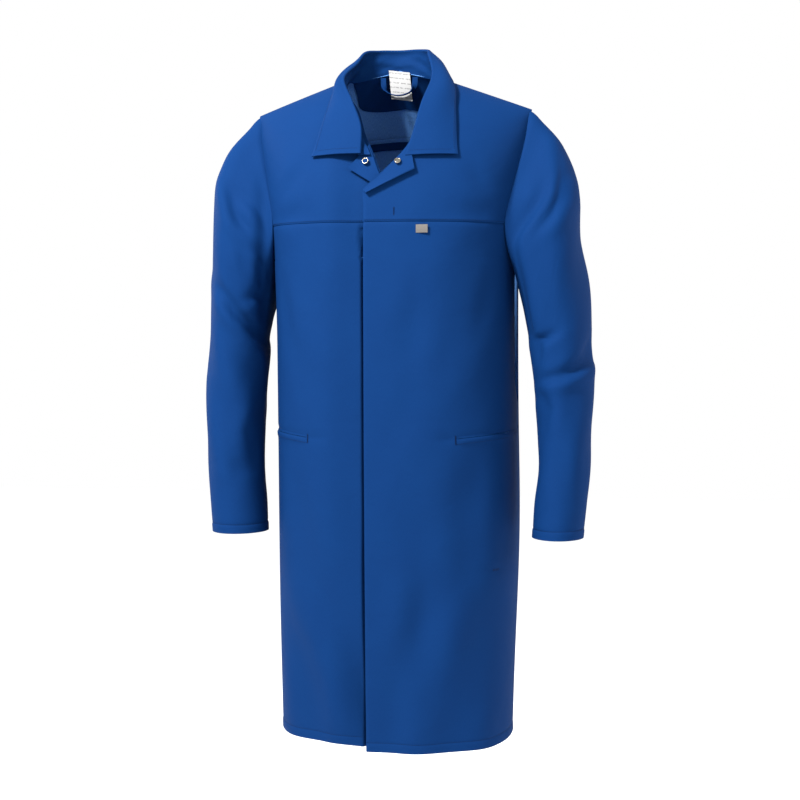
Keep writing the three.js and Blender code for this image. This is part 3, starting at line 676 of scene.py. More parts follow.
@dataclass
class Shell:
    """A closed shell of cloth made from a grid of outer points."""

    name: str
    points: Points  # columns x rows x 3, in millimetres
    materials: list[Any]
    thickness: float = 1.0
    wrap: bool = False
    away_from: tuple[float, float] = (0.0, 8.0)  # the cloth faces away from this upright line
    holes: np.ndarray | None = None  # quads that are left out
    facing: Points | None = None  # a direction that the cloth faces, in place of away_from

    def outward(self) -> Points:
        """The grid's normals, turned out."""
        normal = grid_normals(self.points, self.wrap)
        if self.facing is not None:
            toward = np.broadcast_to(self.facing, self.points.shape)
        else:
            toward = self.points - np.array([*self.away_from, 0.0])
            toward = toward * np.array([1.0, 1.0, 0.0])
        return normal if (normal * toward).sum() > 0 else -normal

    def build(self) -> bpy.types.Object:
        """Makes the mesh object.

        Returns:
            The object, in the scene.
        """
        columns, rows, _ = self.points.shape
        normal = self.outward()
        flipped = (grid_normals(self.points, self.wrap) * normal).sum() < 0
        inner = self.points - normal * self.thickness
        count = columns * rows
        spans = columns if self.wrap else columns - 1
        i, j = np.meshgrid(np.arange(spans), np.arange(rows - 1), indexing="ij")
        kept = np.ones(i.shape, bool) if self.holes is None else ~self.holes[:spans, : rows - 1]
        i, j = i[kept], j[kept]
        corners = [(i, j), (i + 1, j), (i + 1, j + 1), (i, j + 1)]
        if flipped:
            corners = [corners[k] for k in (0, 3, 2, 1)]
        quads = np.stack([(a % columns) * rows + b for a, b in corners], axis=1)
        edges = np.concatenate([quads[:, [k, (k + 1) % 4]] for k in range(4)])
        coded, reverse = edges[:, 0] * count + edges[:, 1], edges[:, 1] * count + edges[:, 0]
        rim = edges[~np.isin(coded, reverse)]
        faces = np.concatenate(
            [
                quads,
                quads[:, ::-1] + count,
                np.stack([rim[:, 1], rim[:, 0], rim[:, 0] + count, rim[:, 1] + count], axis=1),
            ]
        )
        mesh = bpy.data.meshes.new(self.name)
        vertices = np.concatenate([self.points.reshape(-1, 3), inner.reshape(-1, 3)]) * MM
        mesh.from_pydata(vertices.tolist(), [], faces.tolist())
        for material in self.materials:
            mesh.materials.append(material)
        slots = np.zeros(len(faces), np.int32)
        slots[len(quads) : 2 * len(quads)] = len(self.materials) - 1
        mesh.polygons.foreach_set("material_index", slots)
        self._unwrap(mesh, faces, quads, corners)
        mesh.polygons.foreach_set("use_smooth", np.ones(len(faces), bool))
        mesh.set_sharp_from_angle(angle=math.radians(60))
        used = np.zeros(2 * count, bool)
        used[faces.ravel()] = True
        made = add_object(self.name, mesh)
        if not used.all():
            drop_loose(made)
        return made

    def _unwrap(self, mesh: Any, faces: np.ndarray, quads: np.ndarray, corners: list[Any]) -> None:
        """Lays the cloth flat in a UV layer, in metres, so that its weave follows it.

        Args:
            mesh: The mesh to give the layer.
            faces: All its faces.
            quads: Its outer faces.
            corners: Grid places of the outer faces' corners.
        """
        columns, rows, _ = self.points.shape
        loop = np.concatenate([self.points, self.points[:1]]) if self.wrap else self.points
        across = np.linalg.norm(np.diff(loop, axis=0), axis=-1)
        down = np.linalg.norm(np.diff(loop, axis=1), axis=-1)
        u = np.concatenate([np.zeros((1, rows)), np.cumsum(across, axis=0)])
        u -= u[len(u) // 2]
        v = np.concatenate([np.zeros((len(loop), 1)), np.cumsum(down, axis=1)], axis=1)
        flat = np.stack([u, v], axis=-1) * MM
        outer = np.stack([flat[a, b] for a, b in corners], axis=1)
        plain = np.concatenate([flat[:columns].reshape(-1, 2)] * 2)
        uv = np.concatenate([outer, outer[:, ::-1], plain[faces[2 * len(quads) :]]])
        layer = mesh.uv_layers.new(name="weave")
        layer.data.foreach_set("uv", uv.astype(np.float32).ravel())


def add_object(name: str, mesh: Any) -> bpy.types.Object:
    """Puts a mesh in the scene.

    Args:
        name: The object's name.
        mesh: Its mesh.

    Returns:
        The object.
    """
    made = bpy.data.objects.new(name, mesh)
    bpy.context.scene.collection.objects.link(made)
    return made


def drop_loose(piece: bpy.types.Object) -> None:
    """Removes a mesh's vertices that no face uses.

    Args:
        piece: The object to clean.
    """
    work = bmesh.new()
    work.from_mesh(piece.data)
    loose = [v for v in work.verts if not v.link_faces]
    bmesh.ops.delete(work, geom=loose, context="VERTS")
    work.to_mesh(piece.data)
    work.free()


@dataclass
class StitchRow:
    """Rows of lockstitches lying on cloth."""

    name: str
    material: Any
    pitch: float = 3.2
    length: float = 2.3
    half_width: float = 0.33
    height: float = 0.4
    rows: list[tuple[Points, Points]] = field(default_factory=list)

    def sew(self, points: Points, normals: Points) -> "StitchRow":
        """Adds one row along a path on cloth with the given normals."""
        self.rows.append((points, normals))
        return self

    def build(self) -> bpy.types.Object:
        """Makes the mesh object of every row.

        Returns:
            The object, in the scene.
        """
        vertices, faces = [], []
        for path, normals in self.rows:
            steps = np.linalg.norm(np.diff(path, axis=0), axis=1)
            run = np.concatenate([[0], np.cumsum(steps)])
            count = max(int(run[-1] / self.pitch), 1)
            for k in range(count):
                middle = (k + 0.5) * run[-1] / count
                ends = [middle - self.length / 2, middle + self.length / 2]
                a, b = [np.array([np.interp(e, run, path[:, n]) for n in range(3)]) for e in ends]
                normal = np.array([np.interp(middle, run, normals[:, n]) for n in range(3)])
                along = (b - a) / max(np.linalg.norm(b - a), 1e-6)
                side = np.cross(normal, along) * self.half_width
                top, low = normal * self.height, -normal * 0.1
                centre = (a + b) / 2
                first = len(vertices)
                vertices += [a + low, b + low]
                for end in (a * 0.6 + centre * 0.4, b * 0.6 + centre * 0.4):
                    vertices += [end + side + low, end + side * 0.6 + top]
                    vertices += [end - side * 0.6 + top, end - side + low]
                near, far = first + 2, first + 6
                turns = [(n, (n + 1) % 4) for n in range(4)]
                faces += [(first, near + n, near + m) for n, m in turns]
                faces += [(first + 1, far + m, far + n) for n, m in turns]
                faces += [(near + n, far + n, far + m, near + m) for n, m in turns]
        mesh = bpy.data.meshes.new(self.name)
        mesh.from_pydata((np.array(vertices) * MM).tolist(), [], faces)
        mesh.materials.append(self.material)
        mesh.polygons.foreach_set("use_smooth", np.ones(len(faces), bool))
        return add_object(self.name, mesh)


def lathe(
    name: str,
    profile: Sequence[tuple[float, float]],
    centre: Points,
    axis: Points,
    materials: list[Any],
    turns: int = 36,
    last_rings: int = 0,
) -> bpy.types.Object:
    """Turns a profile round an axis.

    Args:
        name: The object's name.
        profile: Radius and height pairs; the first and last may lie on the axis.
        centre: The foot of the axis, in millimetres.
        axis: The unit direction that height runs along.
        materials: One material, or two where the last rings have their own.
        turns: Steps round the axis.
        last_rings: How many bands at the end of the profile take the second material.

    Returns:
        The object, in the scene.
    """
    axis = axis / np.linalg.norm(axis)
    side = np.cross(axis, [0.0, 0.0, 1.0])
    side = side / np.linalg.norm(side)
    other = np.cross(axis, side)
    angle = np.linspace(0, 2 * np.pi, turns, endpoint=False)
    ring = np.cos(angle)[:, None] * side + np.sin(angle)[:, None] * other
    points = [centre + ring * max(radius, 0.02) + axis * height for radius, height in profile]
    faces, slots = [], []
    for band in range(len(profile) - 1):
        for k in range(turns):
            m = (k + 1) % turns
            a, b = band * turns, (band + 1) * turns
            faces.append((a + k, a + m, b + m, b + k))
            slots.append(1 if band >= len(profile) - 1 - last_rings else 0)
    faces.append(tuple(range(turns))[::-1])
    faces.append(tuple(range((len(profile) - 1) * turns, len(profile) * turns)))
    slots += [0, slots[-1]]
    mesh = bpy.data.meshes.new(name)
    mesh.from_pydata((np.concatenate(points) * MM).tolist(), [], faces)
    for material in materials:
        mesh.materials.append(material)
    mesh.polygons.foreach_set("material_index", np.array(slots, np.int32))
    mesh.polygons.foreach_set("use_smooth", np.ones(len(faces), bool))
    mesh.set_sharp_from_angle(angle=math.radians(50))
    return add_object(name, mesh)


def declare(piece: bpy.types.Object, flat: tuple[float, float], held: str, **more: Any) -> None:
    """Logs a sheet of cloth with its flat size in millimetres.

    Args:
        piece: The cloth.
        flat: Width and length before it was sewn in.
        held: How it is held.
        more: rests_on, with_pieces or the flat share of the rectangle; not used.
    """
    share = more.pop("share", None)
    area = None if share is None else flat[0] * flat[1] * MM * MM * share
    flat[0] * MM
    flat[1] * MM
    LOG.info("%s: sheet %.0f x %.0f mm, %s", piece.name, flat[0], flat[1], held)


def place(piece: bpy.types.Object, slot: str, *nodes: str, body: str = "") -> bpy.types.Object:
    """Hides the CAD nodes that a piece stands for, and hangs it on a body if one is given.

    Args:
        piece: The finished piece.
        slot: Its material slot; not used.
        nodes: CAD nodes that it replaces.
        body: The body it rides on, if it doesn't bend between two.

    Returns:
        The piece.
    """
    if nodes:
        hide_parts(*nodes)
    if body:
        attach(piece, body)
    return piece


# ---------------------------------------------------------------- the body of the coat


@dataclass
class CoatBody:
    """The surface of the coat's body, and the slow waves and folds in its cloth."""

    shoulder_half: float = 214.0
    shoulder_drop: float = 51.0
    neck_half: float = 72.0
    neck_back: float = 54.0
    body_half: float = 188.0
    shoulder_roll: float = 190.0
    roundness: float = 0.8
    length: float = 1021.0
    overlap: float = 22.0
    lapel_break: float = 182.0
    front_yoke_drop: float = 227.0
    back_yoke_drop: float = 95.0
    armpit_drop: float = 278.0
    hem_height: float = 14.0
    under_front: float = 10.7  # how far the right front sinks under the left one
    slit_top: float = 292.0
    slit_bottom: float = 500.0
    slit_inset: float = 1.4
    pocket_drop: float = 545.0
    pocket_inner: float = 112.0
    pocket_rise: float = 8.0
    bag_tack: tuple[float, float] = (163.0, 749.0)  # distance from the middle and drop
    neck_rise: float = 15.0  # how far the form's neck lifts the middle of the back
    hip_fullness: float = 5.0  # how far the left side stands out over the pocket
    edge_groove: float = 7.0  # how deep the right front dips where the left one's edge lies
    groove_x: float = 24.5
    groove_drop: float = 600.0  # where the groove's columns are placed
    skirt_waves: Undulation = Undulation(8.0, across=130.0, down=1700.0, seed=4)
    calm_waves: Undulation = Undulation(2.0, across=110.0, down=260.0, seed=9)
    back_waves: Undulation = Undulation(7.0, across=150.0, down=2600.0, seed=12)
    hitch: float = 9.0  # how far the right front's hem rides up
    stud_drops: tuple[float, ...] = (200.0, 325.0, 450.0, 575.0, 700.0, 825.0)

    def __post_init__(self) -> None:
        """Sets the curves that the surface follows."""
        s, b = self.shoulder_half, self.body_half
        self.half_width = Stations(
            (0, s + 1), (51, s + 1), (125, s - 6), (180, b + 12), (230, b + 6), (278, b + 2),
            (500, b), (800, b - 2), (self.length, b - 6),
        )  # fmt: skip
        self.front_depth = Stations(
            (-30, 100), (0, 104), (60, 114), (125, 128), (227, 146), (400, 148), (700, 142),
            (self.length, 128),
        )  # fmt: skip
        self.back_depth = Stations(
            (-30, 136), (60, 132), (95, 130), (300, 132), (700, 130), (self.length, 126)
        )
        self.middle_y = Stations((-30, 2), (51, 2), (278, 34), (420, 48), (self.length, 46))
        self.plain_middle = Stations((-30, 2), (51, 2), (278, 12), (self.length, 12))
        self.front_armhole = Stations(
            (51, s), (90, s - 4), (125, s - 11), (178, b + 3), (220, b - 6), (250, b - 5), (278, b + 1)
        )
        self.back_armhole = Stations((51, s), (125, s - 8), (178, b + 9), (230, b + 2), (278, b + 1))
        n, edge = self.neck_half, self.overlap
        self.neck_edge = {
            Side.LEFT: Stations(
                (0, n), (30, n - 5), (60, n - 13), (99, n - 23), (125, 36), (161, 3), (182, -edge),
                (202, -edge),
            ),  # fmt: skip
            Side.RIGHT: Stations(
                (0, n), (30, n - 11), (60, n - 30), (99, n - 45), (125, 14), (161, -3), (182, -edge),
                (202, -edge),
            ),  # fmt: skip
        }

    def seam_drop(self, x: Any) -> Any:
        """The shoulder seam's drop at a distance from the middle."""
        return (np.abs(x) - self.neck_half) * self.shoulder_drop / (self.shoulder_half - self.neck_half)

    def drop_of_roll(self, roll: Any) -> np.ndarray:
        """How far the cloth falls over a share of the shoulder's roll."""
        roll = np.asarray(roll, float)
        curved = self.shoulder_roll * (1 - np.cos(np.minimum(roll, 1) * np.pi / 2))
        return curved + self.shoulder_roll * np.maximum(roll - 1, 0) * np.pi / 2

    def roll_of_drop(self, fall: Any) -> np.ndarray:
        """The inverse of drop_of_roll."""
        share = np.asarray(fall, float) / self.shoulder_roll
        curved = np.arccos(1 - np.clip(share, 0, 1)) / (np.pi / 2)
        return curved + np.maximum(share - 1, 0) / (np.pi / 2)

    def turn_of(self, x: Any, drop: Any) -> np.ndarray:
        """The turn round the body section at a distance from the middle."""
        share = np.minimum(np.abs(x) / self.half_width(drop), 1)
        return np.sign(x) * np.arcsin(share ** (1 / self.roundness))

    def across(self, turn: Any, drop: Any) -> np.ndarray:
        """The distance from the middle at a turn round the body section."""
        return self.half_width(drop) * np.abs(np.sin(turn)) ** self.roundness * np.sign(turn)

    def point(self, face: Face, turn: Any, roll: Any) -> Points:
        """Points of the bare surface.

        Args:
            face: Front or back.
            turn: Turn round the section, a quarter turn at the side.
            roll: Share of the shoulder's roll.

        Returns:
            The points, in millimetres.
        """
        turn, roll = np.broadcast_arrays(np.asarray(turn, float), np.asarray(roll, float))
        share = np.abs(np.sin(turn)) ** self.roundness * np.sign(turn)
        drop = np.full(turn.shape, self.shoulder_drop)
        x = share * 0
        for _ in range(6):
            x = self.half_width(drop) * share
            drop = self.seam_drop(x) + self.drop_of_roll(roll)
        out = np.maximum(np.cos(turn), 0) ** self.roundness * np.sin(np.minimum(roll, 1) * np.pi / 2)
        if face is Face.FRONT:
            return np.stack([x, self.middle_y(drop) - self.front_reach(drop) * out, -drop], axis=-1)
        y = self.middle_y(drop) + self.back_reach(drop) * out
        rise = self.neck_rise * bell(x, 0, 105) * (1 - smooth(drop, 110, 320)) * smooth(y, 2, 50)
        return np.stack([x, y, rise - drop], axis=-1)

    def front_reach(self, drop: Any) -> np.ndarray:
        """How far the front stands ahead of the widest line of the section."""
        return self.front_depth(drop) + self.middle_y(drop) - self.plain_middle(drop)

    def back_reach(self, drop: Any) -> np.ndarray:
        """How far the back stands behind the widest line of the section."""
        return self.back_depth(drop) - self.middle_y(drop) + self.plain_middle(drop)

    def settle(self, side: Side, points: Points) -> Points:
        """Moves a half's points by the uneven hang of the skirt.

        Args:
            side: The wearer's side.
            points: Points with X towards that side.

        Returns:
            The moved points.
        """
        x, drop = points[..., 0], -points[..., 2]
        moved = points.copy()
        if side is Side.LEFT:
            moved[..., 0] += self.hip_fullness * bell(drop, 690, 170) * smooth(x, 60, self.body_half)
        else:
            moved[..., 2] += self.hitch * smooth(drop, 560, self.length) * smooth(x, -self.overlap, 70)
        return moved

    def skin(self, face: Face, turn: Any, roll: Any, depth: Any) -> tuple[Points, Points]:
        """Points a depth inside the surface.

        Args:
            face: Front or back.
            turn: Turn round the section.
            roll: Share of the shoulder's roll.
            depth: Millimetres inwards.

        Returns:
            The points and the surface's outward normals.
        """
        step = 0.004
        turn, roll, depth = np.broadcast_arrays(turn, roll, depth)
        t = np.clip(turn, -np.pi / 2 + 2 * step, np.pi / 2 - 2 * step)
        r = np.maximum(roll, 2 * step)
        along = self.point(face, t + step, r) - self.point(face, t - step, r)
        down = self.point(face, t, r + step) - self.point(face, t, r - step)
        normal = np.cross(along, down)
        normal = normal / np.linalg.norm(normal, axis=-1, keepdims=True)
        wrong = (normal[..., 1] * face.value < -0.001)[..., None]
        normal = np.where(wrong, -normal, normal)
        inward_x = (np.abs(normal[..., 1:2]) < 0.001) & (normal[..., :1] * np.sign(t)[..., None] < 0)
        normal = np.where(inward_x, -normal, normal)
        return self.point(face, turn, roll) - normal * depth[..., None], normal

    # How each half's cloth moves off the bare surface.

    def front_relief(self, side: Side, x: Any, drop: Any) -> np.ndarray:
        """How far a front's cloth stands off the bare surface.

        Args:
            side: The wearer's side.
            x: Distance from the middle towards that side.
            drop: Drop of each point.

        Returns:
            Outward moves, in millimetres.
        """
        x, drop = np.broadcast_arrays(np.asarray(x, float), np.asarray(drop, float))
        shift = 0.0 if side is Side.LEFT else 700.0
        inside = 1 - smooth(x, self.body_half - 50, self.body_half - 8)
        by_edge = smooth(x, -self.overlap, 45)
        skirt = smooth(drop, 420, 1000) * (0.25 + 0.75 * by_edge)
        waves = self.skirt_waves.relief(x + shift, drop) * skirt
        calm = self.calm_waves.relief(x + shift, drop) * smooth(drop, 150, 260) * by_edge
        relief = (waves + calm) * inside + hem_relief(drop, self.length - self.hem_height)
        for stud in self.stud_drops[1:]:
            relief = relief + 0.45 * np.exp(-(((x - 2) ** 2 + (drop - stud) ** 2) / 60))
        relief = relief + self.pocket_relief(x, drop)
        if side is Side.LEFT:
            corner = np.hypot((x - self.bag_tack[0]) / 16, (drop - self.bag_tack[1]) / 5)
            relief = relief - 1.2 * bell(corner, 0, 1)
        else:
            relief = relief - self.edge_groove * bell(x, self.groove_x, 2.4) * smooth(drop, 225, 240)
        for crease in BODY_CREASES[side]:
            relief = relief + crease.relief(x, drop) * inside
        return relief

    def pocket_relief(self, x: np.ndarray, drop: np.ndarray) -> np.ndarray:
        """The welt of the pocket's mouth, and the pucker at its tack."""
        off = drop - self.pocket_line(x)
        in_mouth = smooth(x, self.pocket_inner - 4, self.pocket_inner + 14)
        pucker = bell(x, self.pocket_inner - 12, 14) * bell(off, 0, 7)
        return in_mouth * (1.5 * bell(off, 4, 5) - 1.2 * bell(off, -3, 4)) - 1.4 * pucker

    def pocket_line(self, x: Any) -> np.ndarray:
        """The drop of the pocket's mouth at a distance from the middle."""
        length = self.body_half + 10 - self.pocket_inner
        share = np.clip((np.asarray(x, float) - self.pocket_inner) / length, 0, 1)
        return self.pocket_drop + self.pocket_rise * (0.5 - share)

    def sink(self, side: Side, x: Any) -> Any:
        """How far the right front dips under the left one."""
        if side is Side.LEFT:
            return np.zeros(np.shape(x))
        return self.under_front * (1 - smooth(x, self.overlap + 8, self.overlap + 60))

    def front(self, side: Side, x: Any, drop: Any, depth: Any = 0.0) -> tuple[Points, Points]:
        """Points on one front.

        Args:
            side: The wearer's side.
            x: Distance from the middle towards that side.
            drop: Drop of each point.
            depth: Millimetres inwards from the cloth's outer face.

        Returns:
            The points and their outward normals.
        """
        turn = self.turn_of(x, drop)
        roll = self.roll_of_drop(np.asarray(drop, float) - self.seam_drop(x))
        inwards = depth + self.sink(side, x) - self.front_relief(side, x, drop)
        points, normal = self.skin(Face.FRONT, turn, roll, inwards)
        mirror = np.array([side.value, 1.0, 1.0])
        return self.settle(side, points) * mirror, normal * mirror

    def back_relief(self, x: Any, drop: Any) -> np.ndarray:
        """How far the back's cloth stands off the bare surface."""
        x, drop = np.broadcast_arrays(np.asarray(x, float), np.asarray(drop, float))
        inside = 1 - smooth(np.abs(x), self.body_half - 50, self.body_half - 8)
        waves = self.back_waves.relief(x, drop) * smooth(drop, 150, 1000)
        return waves * inside + hem_relief(drop, self.length - self.hem_height)

    def back(self, x: Any, drop: Any, depth: Any = 0.0) -> tuple[Points, Points]:
        """Points on the back, and their outward normals."""
        turn = self.turn_of(x, drop)
        roll = self.roll_of_drop(np.asarray(drop, float) - self.seam_drop(x))
        points, normal = self.skin(Face.BACK, turn, roll, depth - self.back_relief(x, drop))
        left, mirror = points[..., :1] > 0, np.array([-1.0, 1.0, 1.0])
        right_half = self.settle(Side.RIGHT, points * mirror) * mirror
        return np.where(left, self.settle(Side.LEFT, points), right_half), normal


BODY_CREASES: dict[Side, tuple[Crease, ...]] = {
    Side.LEFT: (
        Crease(((188, 262), (170, 315), (150, 392)), depth=6.0, width=16),
        Crease(((178, 205), (150, 214), (120, 208)), depth=3.0, width=14),
        Crease(((128, 140), (150, 168), (168, 186)), depth=3.0, width=13),
        Crease(((60, 300), (52, 420), (40, 520)), depth=2.2, width=20),
        Crease(((140, 560), (128, 690), (132, 860), (126, 990)), depth=4.5, width=26),
        Crease(((70, 640), (62, 800), (70, 1000)), depth=3.5, width=24),
    ),
    Side.RIGHT: (
        Crease(((186, 262), (166, 318), (146, 410)), depth=6.0, width=16),
        Crease(((182, 208), (152, 218), (118, 210)), depth=3.0, width=14),
        Crease(((120, 142), (146, 170), (170, 190)), depth=3.0, width=13),
        Crease(((70, 330), (64, 520), (74, 700)), depth=2.4, width=22),
        Crease(((132, 570), (122, 720), (128, 990)), depth=4.5, width=26),
    ),
}


@dataclass
class Fold:
    """A hinge line in a front's cloth, and how wide the cloth curls about it."""

    body: str
    pivot: Points
    axis: Points
    away: Points
    curl: float = 62.0

    @classmethod
    def from_joint(cls, frame: dict[str, Any], name: str, side: Side) -> "Fold":
        """Reads a fold from the frame's joint.

        Args:
            frame: The loaded frame.
            name: The joint's name.
            side: The wearer's side.

        Returns:
            The fold.
        """
        joint = next(j for j in frame["joints"] if j["name"] == name)
        pivot, axis = np.array(joint["pos_m"]) / MM, np.array(joint["axis"])
        toward = np.array([-side.value, 0.0, 0.0])
        away = toward - (toward @ axis) * axis
        return cls(joint["child"], pivot, axis, away / np.linalg.norm(away))

    def bend(self, piece: bpy.types.Object) -> None:
        """Bakes a finished piece's transform into its mesh; it is not bent."""
        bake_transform(piece)


@dataclass
class FrontHalf:
    """One front: yoke, panel with its folding flap, facing, hem, fly, studs and pocket."""

    side: Side
    coat: CoatBody
    wardrobe: Wardrobe
    fold: Fold
    cloth: float = 1.0
    facing_width: float = 58.0
    fly_width: float = 42.0
    fly_inset: float = 5.0
    columns: int = 58
    row_step: float = 5.0
    yoke_lap: float = 6.0
    ply: float = 1.8
    bag_top: float = 528.0
    bag_bottom: float = 758.0
    bag_fullness: float = 17.0

    @property
    def label(self) -> str:
        """The side's name."""
        return self.side.label

    def side_edge(self, drop: Any) -> np.ndarray:
        """The front's outer edge: the armhole, then the side seam with its access slit."""
        coat = self.coat
        opening = smooth(drop, coat.slit_top - 6, coat.slit_top + 12)
        opening = opening * (1 - smooth(drop, coat.slit_bottom - 40, coat.slit_bottom))
        inset = coat.slit_inset * opening if self.side is Side.LEFT else 0.0
        return np.where(drop < coat.armpit_drop, coat.front_armhole(drop), coat.half_width(drop) - inset)

    def grid(
        self, drops: np.ndarray, inner: Any, outer: Any, shares: np.ndarray
    ) -> tuple[np.ndarray, np.ndarray]:
        """A grid of places on the front between two edges.

        Args:
            drops: Rows.
            inner: Inner edge at each row.
            outer: Outer edge at each row.
            shares: Columns, as shares from the inner to the outer edge.

        Returns:
            Distance from the middle and drop, columns by rows.
        """
        low, high = self.coat.turn_of(inner, drops), self.coat.turn_of(outer, drops)
        turn = blend(low[None, :], high[None, :], shares[:, None])
        drop = np.broadcast_to(drops[None, :], turn.shape)
        return self.coat.across(turn, drop), drop

    def edge_roll(self, x: np.ndarray) -> np.ndarray:
        """How far the cloth curls inwards at the front edge."""
        return 1.5 * np.clip(1 - (x + self.coat.overlap) / 3.2, 0, 1) ** 2

    def yoke(self) -> bpy.types.Object:
        """The front yoke, from the shoulder seam to the yoke seam."""
        coat = self.coat
        bottom = coat.front_yoke_drop + 0.8
        shares = np.concatenate([[0, 0.008, 0.016, 0.026, 0.04], np.linspace(0.06, 1, 48)])[:, None]
        v = np.concatenate([[0, 0.006, 0.012, 0.02, 0.03], np.linspace(0.05, 1, 44)])[None, :]
        neck = coat.drop_of_roll(coat.roll_of_drop(bottom) * (1 - v))
        arm_roll = coat.roll_of_drop(bottom - coat.shoulder_drop) * (1 - v)
        arm = coat.shoulder_drop + coat.drop_of_roll(arm_roll)
        edge = coat.neck_edge[self.side](neck)
        turn = blend(coat.turn_of(edge, neck), coat.turn_of(coat.front_armhole(arm), arm), shares)
        x = coat.across(turn, blend(neck, arm, shares))
        roll = np.maximum(coat.roll_of_drop(bottom - coat.seam_drop(x)) * (1 - v), 0.0)
        drop = coat.seam_drop(x) + coat.drop_of_roll(roll)
        relief = coat.front_relief(self.side, x, drop) + 0.5 * smooth(drop, bottom - 9, bottom - 3)
        relief = relief - 0.8 * smooth(drop, bottom - 1.6, bottom)
        below_break = smooth(drop, coat.lapel_break - 4, coat.lapel_break + 10)
        depth = coat.sink(self.side, x) - relief + self.edge_roll(x) * below_break
        points, _ = coat.skin(Face.FRONT, turn, roll, depth)
        points = points * np.array([self.side.value, 1, 1])
        piece = Shell(f"{self.label}_yoke_cloth", points, self.wardrobe.cloth(), self.cloth).build()
        return place(piece, "cloth_blue", f"{self.label}_front_yoke", body="root")

    def panel(self) -> bpy.types.Object:
        """The front panel and its flap as one cloth, with the pocket's mouth cut in it."""
        coat = self.coat
        mouth = coat.pocket_drop
        fine = [mouth - 0.9, mouth + 0.9, coat.length - coat.hem_height, coat.front_yoke_drop]
        drops = spaced(coat.front_yoke_drop - self.yoke_lap, coat.length, self.row_step, fine)
        shares = np.concatenate([[0, 0.004, 0.008, 0.013, 0.02], np.linspace(0.03, 1, self.columns)])
        if self.side is Side.RIGHT:
            places = np.array([-coat.overlap, coat.groove_x, coat.body_half])
            low, groove, high = coat.turn_of(places, coat.groove_drop)
            middle = (groove - low) / (high - low)
            kept = shares[np.abs(shares - middle) > 0.028]
            shares = np.unique(np.concatenate([kept, middle + np.linspace(-0.024, 0.024, 13)]))
        x, drop = self.grid(drops, np.full(len(drops), -coat.overlap), self.side_edge(drops), shares)
        warp = (coat.pocket_line(x) - mouth) * np.exp(-(((drop - mouth) / 34) ** 2))
        tucked = 1.7 * (1 - smooth(drop, coat.front_yoke_drop - 1, coat.front_yoke_drop + 5))
        points, _ = coat.front(self.side, x, drop + warp, tucked + self.edge_roll(x))
        low = int(np.argmin(np.abs(drops - (mouth - 0.9))))
        holes = np.zeros(x.shape, bool)
        lips = (x[:, low] > coat.pocket_inner) & (x[:, low] < coat.body_half - 8)
        holes[lips, low] = True
        name, cloth = f"{self.label}_front_cloth", self.wardrobe.cloth()
        piece = Shell(name, points, cloth, self.cloth, holes=holes).build()
        self.fold.bend(piece)
        return place(piece, "cloth_blue", f"{self.label}_front_panel", f"{self.label}_front_flap")

    def ply_between(
        self,
        name: str,
        drops: np.ndarray,
        inner: Any,
        outer: Any,
        depth: Any,
        count: int,
        stands_for: Sequence[str],
    ) -> bpy.types.Object:
        """An inner ply of the front between two edges.

        Args:
            name: The piece's name.
            drops: Rows.
            inner: Inner edge.
            outer: Outer edge.
            depth: Millimetres inside the front's outer face.
            count: Columns.
            stands_for: CAD nodes that it replaces.

        Returns:
            The piece.
        """
        edges = [np.broadcast_to(edge, drops.shape) for edge in (inner, outer)]
        x, drop = self.grid(drops, *edges, np.linspace(0, 1, count))
        points, _ = self.coat.front(self.side, x, drop, depth(x, drop) if callable(depth) else depth)
        piece = Shell(name, points, self.wardrobe.lining(), self.cloth).build()
        return place(piece, "cloth_inside", *stands_for)

    def inner_plies(self) -> list[bpy.types.Object]:
        """The facing, the turned-up hem and, on the left front, the fly strip."""
        coat, label = self.coat, self.label
        facing_edge = self.facing_width - coat.overlap
        facing = self.ply_between(
            f"{label}_facing_cloth",
            spaced(coat.lapel_break + 8, coat.length - 0.5, 9),
            -coat.overlap + 1.2,
            facing_edge,
            self.ply,
            9,
            [f"{label}_upper_facing", f"{label}_lower_facing"],
        )
        hem_rows = np.linspace(coat.length - coat.hem_height, coat.length - 0.5, 4)
        hem = self.ply_between(
            f"{label}_hem_cloth",
            hem_rows,
            facing_edge + 1,
            self.side_edge(hem_rows) - 1.5,
            self.ply,
            30,
            [f"{label}_flap_hem", f"{label}_front_hem"],
        )
        made = [facing, hem]
        if self.side is Side.LEFT:
            inner = self.fly_inset - coat.overlap
            strip = self.ply_between(
                "fly_strip_cloth",
                spaced(coat.lapel_break + 16, coat.stud_drops[-1] + 60, 9),
                inner,
                inner + self.fly_width,
                2 * self.ply,
                7,
                ["fly_strip_upper", "fly_strip_lower"],
            )
            made.append(strip)
        for piece in made:
            self.fold.bend(piece)
        return made

    def pocket_bag(self) -> bpy.types.Object:
        """The pocket's bag, sewn flat round its edge and fullest at its middle."""
        coat = self.coat
        top, bottom = self.bag_top, self.bag_bottom
        inner, outer = coat.pocket_inner - 6, coat.body_half - 10

        def depth(x: np.ndarray, drop: np.ndarray) -> np.ndarray:
            """The bag's depth at a place."""
            u, v = (x - inner) / (outer - inner), (drop - top) / (bottom - top)
            full = np.sin(np.pi * np.clip(u, 0, 1)) * np.sin(np.pi * np.clip(v, 0, 1))
            return self.ply + self.bag_fullness * full**0.6

        name, node = f"{self.label}_pocket_cloth", f"{self.label}_pocket_bag"
        piece = self.ply_between(name, spaced(top, bottom, 9), inner, outer, depth, 16, [node])
        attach(piece, "root")
        return piece

    def row_on(self, x: Any, drop: Any, lift: float = 0.0) -> tuple[Points, Points]:
        """A path on the front's outer face, for stitches."""
        x, drop = np.broadcast_arrays(np.asarray(x, float), np.asarray(drop, float))
        points, normals = self.coat.front(self.side, x, drop, -lift)
        return points, normals

